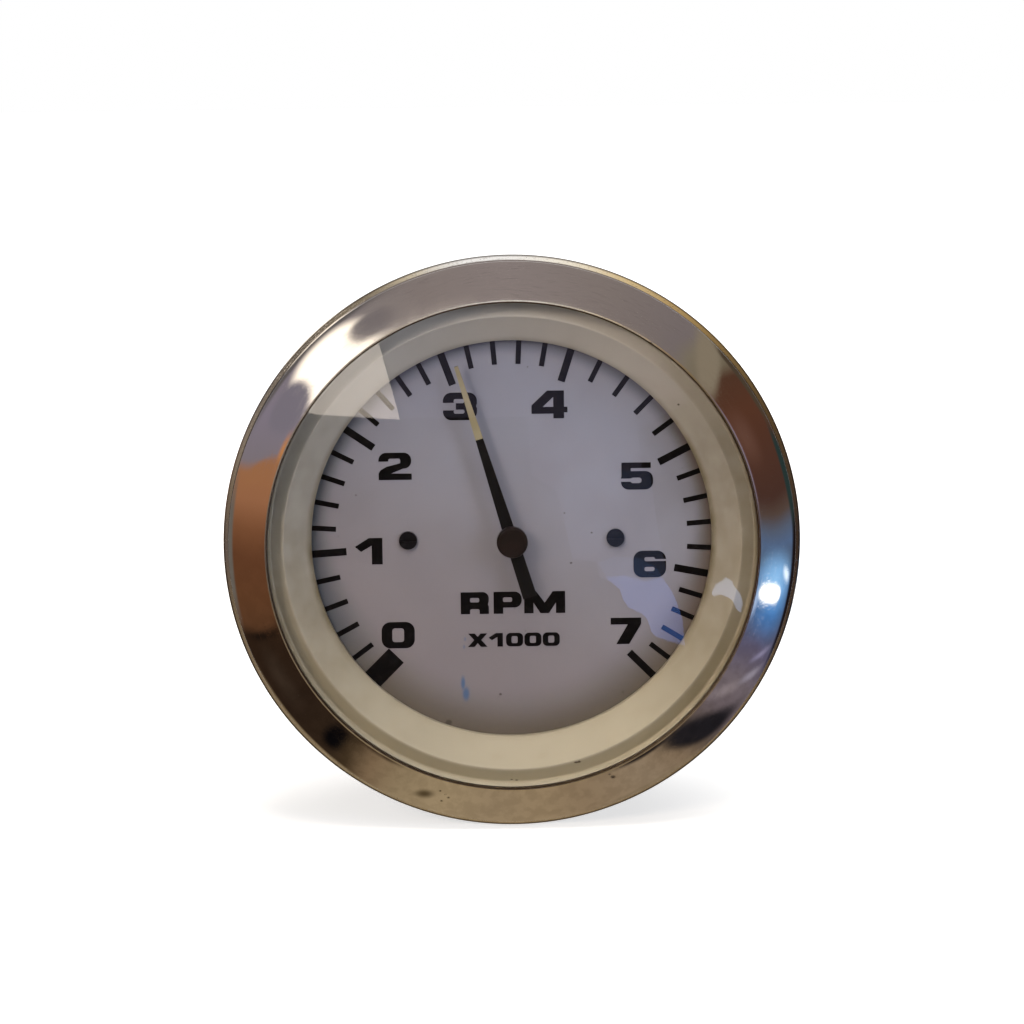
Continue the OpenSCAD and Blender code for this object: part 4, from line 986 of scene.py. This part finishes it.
@dataclass
class Glazing:
    """What lies under the bezel's edge: the rubber gasket and the cream ring under the glass."""

    gasket_in: float = 42.82
    gasket_out: float = 43.95
    gasket_low: float = 5.6
    gasket_high: float = 6.1
    gasket_round: float = 0.2
    gasket_heel: float = 0.12
    opening_r: float = 35.5
    ring_r: float = 41.2
    dial: float = -4.4
    toe: float = 1.4
    toe_w: float = 1.5
    crest_r: float = 40.2
    crest: float = 2.5
    valley_r: float = 42.6
    valley: float = 2.15
    rim_in: float = 43.1
    lens_z: float = 3.4
    rim_r: float = 44.55
    flange: float = 1.4
    wall_end: float = -0.2
    toe_round: float = 0.2
    crest_round: float = 0.35
    valley_round: float = 0.4
    rim_round: float = 0.2
    steps: int = 240

    def gasket_outline(self) -> list[Point]:
        """Draws the gasket's section, its inner edge round as rubber is.

        Returns:
            The points, as distance from the axis and height.
        """
        return rounded([
            (self.gasket_in, self.gasket_low, self.gasket_heel), (self.gasket_out, self.gasket_low, 0),
            (self.gasket_out, self.gasket_high, 0), (self.gasket_in, self.gasket_high, self.gasket_round)])

    def ring_outline(self) -> list[Point]:
        """Draws the ring's section, with the small radii of its mould.

        Returns:
            The points, as distance from the axis and height.
        """
        return rounded([
            (self.opening_r, self.dial, 0), (self.opening_r, self.dial + self.toe, self.toe_round),
            (self.crest_r, self.crest, self.crest_round), (self.valley_r, self.valley, self.valley_round),
            (self.rim_in, self.lens_z, self.rim_round), (self.rim_r, self.lens_z, 0),
            (self.rim_r, self.flange, 0), (self.ring_r, self.flange, 0), (self.ring_r, self.wall_end, 0),
            (self.opening_r + self.toe_w, self.dial, 0)])

    def build(self) -> None:
        """Builds and dresses the gasket and the ring."""
        gasket = smooth_mesh("gasket_moulded", *spin(self.gasket_outline(), self.steps))
        seat(gasket, BLACK_RUBBER, "lens_gasket")
        ring = smooth_mesh("trim_ring_moulded", *spin(self.ring_outline(), self.steps))
        seat(ring, CREAM_PLASTIC, "trim_ring")


@dataclass
class Thread:
    """A screw thread along the dial's axis, cut into a rod."""

    x: float
    up: float
    start: float
    end: float
    radius: float
    pitch: float
    depth: float
    segments: int = 28
    rings: int = 8
    # Shape of the groove: how steep its flanks are, and the share that stays flat on its crest
    flank: float = 1.25
    land: float = 0.12
    # The last turn narrows by this share of the radius, from nearly full at its start
    chamfer: float = 0.16
    chamfer_end: float = 0.15

    def surface(self) -> Shape:
        """Works out the rod, whose surface rises and falls with the thread.

        Returns:
            The points and the faces, with both ends closed.
        """
        count = max(2, round(abs(self.end - self.start) / self.pitch * self.rings))
        points, faces = [], []
        for i in range(count + 1):
            out = self.start + (self.end - self.start) * i / count
            lead_in = min(1.0, (count - i) / self.rings + self.chamfer_end)
            for j in range(self.segments):
                turn = j / self.segments
                wave = abs(2 * ((out / self.pitch + turn) % 1.0) - 1)
                cut = self.depth * min(1.0, max(0.0, self.flank * wave - self.land))
                r = (self.radius - cut) * (1 - self.chamfer * (1 - lead_in))
                points.append(placed(self.x + r * math.cos(math.tau * turn),
                                     self.up + r * math.sin(math.tau * turn), out))
        for i in range(count):
            low, high = i * self.segments, (i + 1) * self.segments
            for j in range(self.segments):
                k = (j + 1) % self.segments
                faces.append((low + j, low + k, high + k, high + j))
        faces.append(tuple(range(self.segments)))
        faces.append(tuple(count * self.segments + j for j in range(self.segments)))
        return points, faces


def join_shapes(shapes: list[Shape]) -> Shape:
    """Puts several shapes into one list of points and one of faces.

    Args:
        shapes: The shapes.

    Returns:
        The points and the faces of all of them.
    """
    points, faces = [], []
    for some_points, some_faces in shapes:
        base = len(points)
        points += some_points
        faces += [tuple(base + i for i in face) for face in some_faces]
    return points, faces


@dataclass(frozen=True)
class StudSet:
    """Threaded studs of one kind, each with its head inside the case."""

    name: str
    places: tuple[Point, ...]
    head_z: float
    head_t: float
    head_r: float
    radius: float
    end: float
    pitch: float
    depth: float
    core: float = 0.3
    head_root: float = 0.15
    head_crown: float = 0.3
    steps: int = 48

    def head(self, x: float, up: float) -> Shape:
        """Makes a stud's head, with its edges rounded.

        Args:
            x: Place of the stud to the right.
            up: Place of the stud upwards.

        Returns:
            The points and the faces.
        """
        low, high = self.head_z, self.head_z + self.head_t
        outline = rounded([(self.core, low, 0), (self.head_r, low, self.head_root),
                           (self.head_r, high, self.head_crown), (self.core, high, 0)])
        points, faces = spin(outline, self.steps)
        return [p + placed(x, up, 0) for p in points], faces

    def build(self, finish: Finish, slot: str, node: str) -> None:
        """Builds and dresses the studs.

        Args:
            finish: Their metal.
            slot: The record's material slot; not used.
            node: The node that they stand for.
        """
        shapes = []
        for x, up in self.places:
            rod = Thread(x, up, self.head_z, self.end, self.radius, self.pitch, self.depth)
            shapes += [rod.surface(), self.head(x, up)]
        studs = smooth_mesh(self.name, *join_shapes(shapes), sharp=50.0)
        seat(studs, finish, node)


@dataclass
class Rear:
    """What stands behind the case: its threaded studs."""

    terminal: StudSet = StudSet(
        "terminal_studs_threaded", ((-18.0, -24.0), (0.0, -29.0), (18.0, -24.0)), head_z=-46.0,
        head_t=1.6, head_r=4.0, radius=2.08, end=-74.0, pitch=0.8, depth=0.28)
    clamp: StudSet = StudSet(
        "clamp_studs_threaded", ((-24.0, 0.0), (24.0, 0.0)), head_z=-57.0,
        head_t=1.8, head_r=4.5, radius=2.415, end=-88.0, pitch=0.79375, depth=0.4)

    def build(self) -> None:
        """Builds and dresses the studs."""
        self.terminal.build(TURNED_BRASS, "turned_brass", "terminal_studs")
        self.clamp.build(ZINC_STEEL, "zinc_steel", "clamp_studs")


def direction(azimuth: float, elevation: float) -> Vector:
    """Returns the direction from the gauge at these angles, in degrees."""
    a, e = math.radians(azimuth), math.radians(elevation)
    return Vector((math.sin(a) * math.cos(e), -math.cos(a) * math.cos(e), math.sin(e)))


@dataclass(frozen=True)
class Portrait:
    """The camera that takes the portrait, and the ray through a point of its picture."""

    distance: float = 600.0
    azimuth: float = -1.2
    elevation: float = 9.1
    roll: float = -0.6
    focal_px: float = 3401.0
    frame_px: float = 1024.0
    centre_x: float = 512.2
    centre_y: float = 542.0
    sensor: float = 36.0

    def location(self) -> Vector:
        """Returns where the camera stands, in metres."""
        return direction(self.azimuth, self.elevation) * self.distance * MM

    def rotation(self) -> Quaternion:
        """Aims the camera so that the gauge's centre falls on its place in the picture.

        Returns:
            The camera's rotation.
        """
        aim = (-self.location()).to_track_quat("-Z", "Y")
        lift = math.atan((self.centre_y - self.frame_px / 2) / self.focal_px)
        side = math.atan((self.centre_x - self.frame_px / 2) / self.focal_px)
        return (aim @ Quaternion((0, 0, 1), math.radians(self.roll)) @ Quaternion((1, 0, 0), lift)
                @ Quaternion((0, 1, 0), side))

    def ray(self, x: float, y: float) -> Vector:
        """Follows a ray from the camera through the picture.

        Args:
            x: Place in the picture to the right, in pixels.
            y: Place in the picture downwards, in pixels.

        Returns:
            The ray's direction.
        """
        half = self.frame_px / 2
        ray = Vector(((x - half) / self.focal_px, (half - y) / self.focal_px, -1))
        return (self.rotation() @ ray).normalized()

    def build(self) -> None:
        """Makes the camera."""
        data = bpy.data.cameras.new("portrait_camera")
        data.sensor_width = self.sensor
        data.lens = self.focal_px / self.frame_px * self.sensor
        camera = stand("portrait_camera", data)
        camera.location = self.location()
        camera.rotation_mode = "QUATERNION"
        camera.rotation_quaternion = self.rotation()
        bpy.context.scene.camera = camera
        LOG.info("camera: %.1f mm lens", data.lens)


def hang_backdrop(thing: bpy.types.Object, mix: Recipe, colour: object, strength: float) -> None:
    """Lets only polished metal and glass see a card, which then lights nothing.

    Args:
        thing: The card.
        mix: Its recipe, still open.
        colour: What it shows, as a hex code or a socket.
        strength: How bright it is.
    """
    scattered = mix.add(Step.ABOVE, mix.add(Step.SCATTERINGS), 0.5)
    glow = mix.add(Step.GLOW, colour, strength)
    mix.owner.cycles.emission_sampling = "NONE"
    thing.data.materials.append(mix.close(mix.add(Step.EITHER, scattered, glow, mix.add(Step.CLEAR))))
    thing.visible_camera = thing.visible_diffuse = False
    thing.visible_volume_scatter = thing.visible_shadow = False


@dataclass(frozen=True)
class Glimpse:
    """One thing of the room that the bezel mirrors, by its place on the bezel."""

    name: str
    around: float
    spread: float
    across: float
    depth: float
    colour: str
    soft: float = 0.5
    strength: float = 1.0
    slant: float = 0.0
    # How square its outline is: 2 is an oval, and more has fuller corners
    fullness: float = 2.4

    def share(self, around: np.ndarray, across: np.ndarray) -> np.ndarray:
        """Says how much of it shows at each place.

        Args:
            around: Angles in degrees, counter-clockwise from three o'clock.
            across: Places on the crown, 0 at the window and 1 at the skirt.

        Returns:
            Shares from 0 to 1.
        """
        turn = (around - self.around - self.slant * (across - self.across) + 180) % 360 - 180
        sides = np.abs(turn / self.spread), np.abs((across - self.across) / self.depth)
        far = sum(side ** self.fullness for side in sides) ** (1 / self.fullness)
        share = np.clip((1 - far) / self.soft, 0, 1)
        return share * share * (3 - 2 * share)


@dataclass
class RoomDome:
    """The room that stands round the gauge, which only polished metal and glass mirror.

    The dome is drawn so that each place on the crown, seen from the camera, mirrors one place of it.
    """

    camera: Vector
    bezel: Bezel
    # The middle of the crown, where the mirrored rays start, and how far they reach
    ring_r: float = 46.0
    ring_out: float = 5.0
    reach: float = 800.0
    around_steps: int = 720
    tilt_steps: int = 120
    last_tilt: float = 62.0
    # Place inside the window at which the painting starts, and the lean past the skirt that adds 1
    first_across: float = -0.6
    skirt_lean: float = 45.0
    strength: float = 1.3
    # How far the walls' edges waver, in degrees, because real steel is never quite round
    waver: float = 0.9
    # Lean below which only the flat lip mirrors the dome, and how fast the change is
    lip_tilt: float = 4.4
    lip_fade: float = 0.8

    # Walls of the room: angle on the bezel, and the colour that its crown shows there
    walls: tuple[tuple[float, str], ...] = (
        (0, "#54698c"), (3.5, "#566074"), (7, "#55463f"), (11, "#48312a"), (30, "#573729"),
        (38, "#503629"), (41, "#6f6554"), (46, "#7b7263"), (50, "#766d6e"), (70, "#827875"),
        (90, "#8b8180"), (108, "#857b79"), (120, "#7e7676"), (150, "#827a88"), (160.5, "#7e767e"),
        (163, "#9c6c4b"), (169, "#98684a"), (175, "#7a5036"), (181, "#623e29"), (190, "#613f29"),
        (196, "#5a3c28"), (198.5, "#2f2117"), (215, "#2c2018"), (227, "#31251b"), (231.5, "#443626"),
        (237, "#7d6850"), (244, "#928064"), (254, "#a18e70"), (264, "#978469"), (276, "#988468"),
        (285, "#8e7a61"), (300, "#92806a"), (308, "#826f5a"), (314, "#5c5048"), (321, "#6a5f64"),
        (328, "#71676e"), (336, "#5e5971"), (344, "#50607f"), (352, "#50688c"), (356, "#4f5b70"))
    # What the flat lip shows, which faces the camera and so mirrors what stands behind it
    lip: tuple[tuple[float, str], ...] = (
        (0, "#3b2d26"), (14, "#4a3a2c"), (30, "#5d4a30"), (45, "#8a7148"), (56, "#b89b68"),
        (68, "#e2cb9c"), (78, "#fff8e8"), (90, "#ffffff"), (100, "#ffffff"), (110, "#cfc2a8"),
        (118, "#857966"), (138, "#6a6157"), (150, "#81766b"), (160, "#8a7d6f"), (168, "#7a6a58"),
        (180, "#625650"), (192, "#73634e"), (206, "#897860"), (225, "#968466"), (270, "#a18b6a"),
        (300, "#8d795c"), (325, "#7d6a50"), (345, "#4a3a30"))
    glimpses: tuple[Glimpse, ...] = (
        Glimpse("skirt_shadow", 180, 400, 1.16, 0.12, "#2b2522", 0.6),
        Glimpse("dim_wall_left", 134, 24, 0.98, 0.13, "#5f5a5a", 0.6),
        Glimpse("window", 132.8, 13.4, 0.25, 0.74, "#fff2e2", 0.35, 1.7),
        Glimpse("window_foot", 146.9, 7.8, 0.38, 0.42, "#7a7480", 0.35),
        Glimpse("window_head", 121.7, 6.3, 0.40, 0.34, "#756e70", 0.4),
        Glimpse("warm_sill", 156.5, 6.5, 0.03, 0.11, "#be8252", 0.8),
        Glimpse("copper_corner", 161.9, 3.4, 0.30, 0.50, "#9c6c4b", 0.5, 1.0, 7.0),
        Glimpse("olive_wall", 180, 19, 0.95, 0.13, "#67615a", 0.6),
        Glimpse("door_edge", 198.7, 1.3, 0.45, 0.55, "#1c140f", 0.8),
        Glimpse("door_panel", 209, 11, 0.50, 0.34, "#392d24", 1.0),
        Glimpse("dark_knot", 226.7, 3.5, 0.36, 0.48, "#0a090b", 0.6),
        Glimpse("dark_wedge", 237, 9, 0.0, 0.12, "#3a2c20", 0.8),
        Glimpse("tan_sill_left", 222, 22, 1.03, 0.14, "#7e6c52", 0.6),
        Glimpse("fold_shade", 319.6, 5.4, 0.62, 0.42, "#4e464b", 1.0, 1.0, 16.0),
        Glimpse("dark_fold", 314.4, 7.6, 0.42, 0.62, "#1f1d21", 0.5, 1.0, 11.0),
        Glimpse("fold_foot", 302, 11.0, 0.0, 0.12, "#251f1e", 0.6),
        Glimpse("tan_sill_right", 299, 14, 0.95, 0.14, "#87765f", 0.6),
        Glimpse("grey_streak", 324.8, 3.0, 0.25, 0.38, "#8a7f84", 0.9, 1.0, 10.0),
        Glimpse("pale_streak", 330.6, 2.2, 0.64, 0.28, "#9f99aa", 1.0, 1.0, 12.0),
        Glimpse("pale_streak_low", 335.5, 1.6, 0.62, 0.28, "#918cac", 1.0, 1.0, 12.0),
        Glimpse("sky_glow", 348, 12.0, 0.44, 0.62, "#4b86cc", 0.9),
        Glimpse("lamp_foot", 346.5, 5.0, 0.03, 0.09, "#a9bfe4", 0.8),
        Glimpse("lamp_glow", 352.0, 8.5, 0.42, 0.60, "#90c6fa", 1.0, 1.1),
        Glimpse("lamp_round", 348.9, 2.5, 0.35, 0.31, "#fffdf6", 0.3, 2.4),
        Glimpse("lamp_small", 353.4, 2.0, 0.72, 0.15, "#d8eaff", 0.8, 1.4, -8.0),
        Glimpse("dark_frame_right", 352, 24, 0.98, 0.15, "#1c1516", 0.5),
        Glimpse("brown_glow", 25, 9, 0.20, 0.36, "#63453a", 1.0),
        Glimpse("teal_frame", 14, 13, 0.92, 0.12, "#283736", 0.5),
        Glimpse("dark_frame_top", 36, 14, 0.95, 0.11, "#4a3f33", 0.5),
        Glimpse("beige_corner", 43.0, 4.8, 0.50, 0.80, "#857a69", 0.5, 1.0, 8.0),
        Glimpse("lavender_line", 22, 22, 0.0, 0.06, "#857a8c", 0.6),
        Glimpse("ceiling_edge", 92, 34, 1.24, 0.2, "#fffaf0", 0.5),
    )

    def wall_colours(self, stops: tuple[tuple[float, str], ...], around: np.ndarray) -> np.ndarray:
        """Fades from one wall's colour to the next.

        Args:
            stops: Angles in rising order, each with a colour.
            around: Angles in degrees.

        Returns:
            A colour in linear light for each angle.
        """
        angles = [stops[-1][0] - 360, *(s[0] for s in stops), stops[0][0] + 360]
        colours = np.array([linear(stops[-1][1]), *(linear(s[1]) for s in stops), linear(stops[0][1])])
        return np.stack([np.interp(around % 360, angles, colours[:, i]) for i in range(3)], axis=-1)

    def paint(self, around: np.ndarray, tilt: np.ndarray) -> np.ndarray:
        """Paints the dome.

        Args:
            around: Angle of each place, in degrees.
            tilt: Lean of the surface that mirrors it, in degrees.

        Returns:
            A colour in linear light for each place.
        """
        marks = np.linspace(self.first_across, 1.0, 200)
        across = np.interp(tilt, [self.bezel.tilt(m) for m in marks], marks)
        skirt = self.bezel.tilt(1.0)
        across = np.where(tilt > skirt, 1 + (tilt - skirt) / self.skirt_lean, across)
        waver = self.waver * np.sin(np.radians(around * 5 + 40)) * np.sin(across * 5)
        colour = self.wall_colours(self.walls, around + waver)
        for glimpse in self.glimpses:
            share = glimpse.share(around + waver * 0.4, across)[..., None]
            colour = colour * (1 - share) + np.array(linear(glimpse.colour)) * glimpse.strength * share
        flat = np.clip((self.lip_tilt - tilt) / self.lip_fade, 0, 1)[..., None]
        return (colour * (1 - flat) + self.wall_colours(self.lip, around) * flat) * self.strength

    def points(self, around: np.ndarray, tilt: np.ndarray) -> np.ndarray:
        """Finds what each place on the bezel mirrors, seen from the camera.

        Args:
            around: Angle of each place, in degrees.
            tilt: Lean of the surface there, in degrees.

        Returns:
            A point in metres for each place.
        """
        a, t = np.radians(around), np.radians(tilt)
        spot = np.stack([self.ring_r * np.cos(a), np.full_like(a, -self.ring_out),
                         self.ring_r * np.sin(a)], -1) * MM
        normal = np.stack([np.sin(t) * np.cos(a), -np.cos(t), np.sin(t) * np.sin(a)], -1)
        view = np.array(self.camera) - spot
        view /= np.linalg.norm(view, axis=-1, keepdims=True)
        mirrored = 2 * (normal * view).sum(-1, keepdims=True) * normal - view
        return spot + mirrored * self.reach * MM

    def build(self) -> None:
        """Makes the dome."""
        around = np.linspace(0, 360, self.around_steps, endpoint=False)
        tilt = self.last_tilt * np.linspace(0, 1, self.tilt_steps) ** 1.25
        around, tilt = np.meshgrid(around, tilt, indexing="ij")
        rows, columns = around.shape
        faces = [(i * columns + j, (i + 1) % rows * columns + j, (i + 1) % rows * columns + j + 1,
                  i * columns + j + 1) for i in range(rows) for j in range(columns - 1)]
        dome = plain_mesh("room_dome", self.points(around, tilt).reshape(-1, 3).tolist(), faces)
        colours = np.ones((rows * columns, 4))
        colours[:, :3] = self.paint(around, tilt).reshape(-1, 3)
        dome.data.color_attributes.new("room", "FLOAT_COLOR", "POINT").data.foreach_set(
            "color", colours.ravel())
        mix = Recipe("painted_room_backdrop")
        hang_backdrop(dome, mix, mix.add(Step.ROOM_PAINT), 1.0)
        LOG.info("room dome: %s", ", ".join(glimpse.name for glimpse in self.glimpses))


@dataclass(frozen=True)
class PaneGlimpse:
    """One thing of the room that the flat glass mirrors, by its outline in the picture, in pixels."""

    name: str
    outline: tuple[Point, ...]
    colour: str
    strength: float
    reach: float = 760.0


@dataclass
class PaneCards:
    """Cards behind the camera that the flat glass mirrors."""

    portrait: Portrait
    glass_out: float = 5.6
    glimpses: tuple[PaneGlimpse, ...] = (
        PaneGlimpse("bright_window", ((301, 412), (319, 415), (400, 420), (380, 348), (376, 334), (352, 351),
                                      (333, 370), (315, 391)),
                    "#ffefdf", 3.4),
        PaneGlimpse("sky_wall", ((404, 419), (452, 418), (528, 417), (531, 475), (557, 492), (565, 525),
                                 (573, 560), (597, 560), (651, 549), (645, 500), (638, 430), (688, 402),
                                 (660, 356), (629, 334), (591, 316), (551, 306), (510, 302), (469, 306),
                                 (429, 316), (391, 334), (380, 341)),
                    "#6c677e", 1.0, 790.0),
        PaneGlimpse("sky_shelf", ((562, 472), (650, 470), (658, 530), (668, 578), (640, 586), (618, 585),
                                  (600, 578), (596, 562), (573, 560), (565, 525)),
                    "#6d7696", 1.0, 782.0),
        PaneGlimpse("sky_corner", ((606, 578), (624, 576), (646, 582), (662, 578), (671, 590), (678, 605),
                                   (683, 622), (685, 646), (670, 642), (656, 637), (651, 631), (648, 620),
                                   (642, 614), (629, 608), (624, 601), (620, 590)),
                    "#6f9eff", 1.7, 775.0),
        PaneGlimpse("sky_step", ((598, 563), (615, 557), (640, 559), (657, 568), (664, 580), (646, 584),
                                 (624, 579), (610, 582), (604, 573)),
                    "#7d97cc", 1.0, 778.0),
        PaneGlimpse("lamp_smudge", ((712, 593), (716, 585), (722, 582), (726, 578), (732, 581), (735, 588),
                                    (740, 593), (743, 603), (741, 613), (737, 610), (733, 601), (727, 597),
                                    (720, 595), (714, 597)), "#bcd4ff", 2.9),
        PaneGlimpse("dim_room", ((200, 200), (840, 200), (840, 880), (200, 880)), "#1c1918", 1.0, 900.0),
    )

    def build(self) -> None:
        """Makes the cards."""
        camera = self.portrait.location()
        for glimpse in self.glimpses:
            points = []
            for x, y in glimpse.outline:
                ray = self.portrait.ray(x, y)
                hit = camera + ray * ((-self.glass_out * MM - camera.y) / ray.y)
                points.append(hit + Vector((ray.x, -ray.y, ray.z)) * glimpse.reach * MM)
            card = plain_mesh(glimpse.name, points, [tuple(range(len(points)))])
            hang_backdrop(card, Recipe("card_" + glimpse.name), glimpse.colour, glimpse.strength)
            LOG.info("card: %s", glimpse.name)


@dataclass(frozen=True)
class Lamp:
    """A soft studio lamp, by its direction from the gauge and its distance."""

    name: str
    azimuth: float
    elevation: float
    distance: float
    size: float
    power: float
    colour: str

    def build(self) -> None:
        """Makes the lamp."""
        data = bpy.data.lights.new(self.name, "AREA")
        data.shape = "DISK"
        data.size = self.size * MM
        data.energy = self.power
        data.color = linear(self.colour)
        lamp = stand(self.name, data)
        where = direction(self.azimuth, self.elevation)
        lamp.location = where * self.distance * MM
        lamp.rotation_mode = "QUATERNION"
        lamp.rotation_quaternion = (-where).to_track_quat("-Z", "Y")
        lamp.visible_glossy = False
        LOG.info("lamp: %s", self.name)


@dataclass
class Studio:
    """The floor, the white background and the lamps."""

    floor_z: float = -50.8
    floor_size: float = 8000.0
    ambient: float = 0.31
    ambient_colour: str = "#f4f1ee"
    paper_colour: str = "#f2f1ef"
    near_glow: float = 0.62
    far_glow: float = 0.95
    # Distances from the gauge between which the floor's glow grows to the background's white
    near: float = 120.0
    far: float = 700.0
    lamps: tuple[Lamp, ...] = (
        Lamp("ceiling", 0, 70, 1000, 420, 4.2, "#fff6ec"),
        Lamp("warm_key", -32, 22, 1000, 300, 2.9, "#ffeedd"),
        Lamp("cool_side", 47, 16, 1000, 320, 1.9, "#dfe8ff"),
        Lamp("rear_fill", 170, 40, 1300, 700, 9.0, "#ffffff"),
    )

    def seen(self, mix: Recipe) -> Socket:
        """Finds the rays that show the background: the camera's, and those mirrored or let through.

        Args:
            mix: The recipe that asks.

        Returns:
            1 for such a ray and 0 for one that carries light between matt surfaces.
        """
        rays = mix.most([mix.add(s) for s in (Step.CAMERA_RAY, Step.GLOSSY_RAY, Step.PASSING_RAY)])
        return mix.add(Step.TIMES, rays, mix.add(Step.BELOW, mix.add(Step.SCATTERINGS), 0.5))

    def build_world(self) -> None:
        """Makes the world: white to look at, and plain soft light on the gauge."""
        mix = Recipe("studio", "worlds")
        soft = mix.add(Step.SKY, self.ambient_colour, self.ambient)
        white = mix.add(Step.SKY, "#ffffff", 1.0)
        mix.close(mix.add(Step.EITHER, self.seen(mix), soft, white), Step.WORLD_OUT)
        bpy.context.scene.world = mix.owner

    def build_floor(self) -> None:
        """Makes the floor: white to look at, with the gauge's soft shadow on it."""
        half, low = self.floor_size / 2 * MM, self.floor_z * MM
        corners = [(-half, -half, low), (half, -half, low), (half, half, low), (-half, half, low)]
        floor = plain_mesh("studio_floor", corners, [(0, 1, 2, 3)])
        mix = Recipe("seamless_white_paper")
        paper = mix.add(Step.SURFACE, Base_Color=self.paper_colour, Roughness=0.95)
        away = mix.add(Step.LENGTH, mix.add(Step.JOIN, mix.add(Step.X, mix.place),
                                            mix.add(Step.Y, mix.place)))
        strength = mix.add(Step.BAND, away, self.near * MM, self.far * MM, self.near_glow, self.far_glow)
        lit = mix.add(Step.BOTH, paper, mix.add(Step.GLOW, "#ffffff", strength))
        mix.owner.cycles.emission_sampling = "NONE"
        floor.data.materials.append(mix.close(mix.add(Step.EITHER, self.seen(mix), paper, lit)))
        floor.visible_glossy = floor.visible_transmission = False

    def build(self) -> None:
        """Makes the studio."""
        bpy.context.scene.view_settings.view_transform = "Standard"
        self.build_world()
        self.build_floor()
        for lamp in self.lamps:
            lamp.build()


def main() -> None:
    """Builds the gauge's pieces in order, then the studio and the camera."""
    logging.basicConfig(level=logging.INFO, format="%(name)s: %(message)s")
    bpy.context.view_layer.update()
    bezel, portrait = Bezel(), Portrait()
    for assembly in (*CARRIED, bezel, Glazing(), Rear(), Studio(), portrait,
                     RoomDome(portrait.location(), bezel), PaneCards(portrait)):
        assembly.build()


if __name__ == "__main__":
    main()
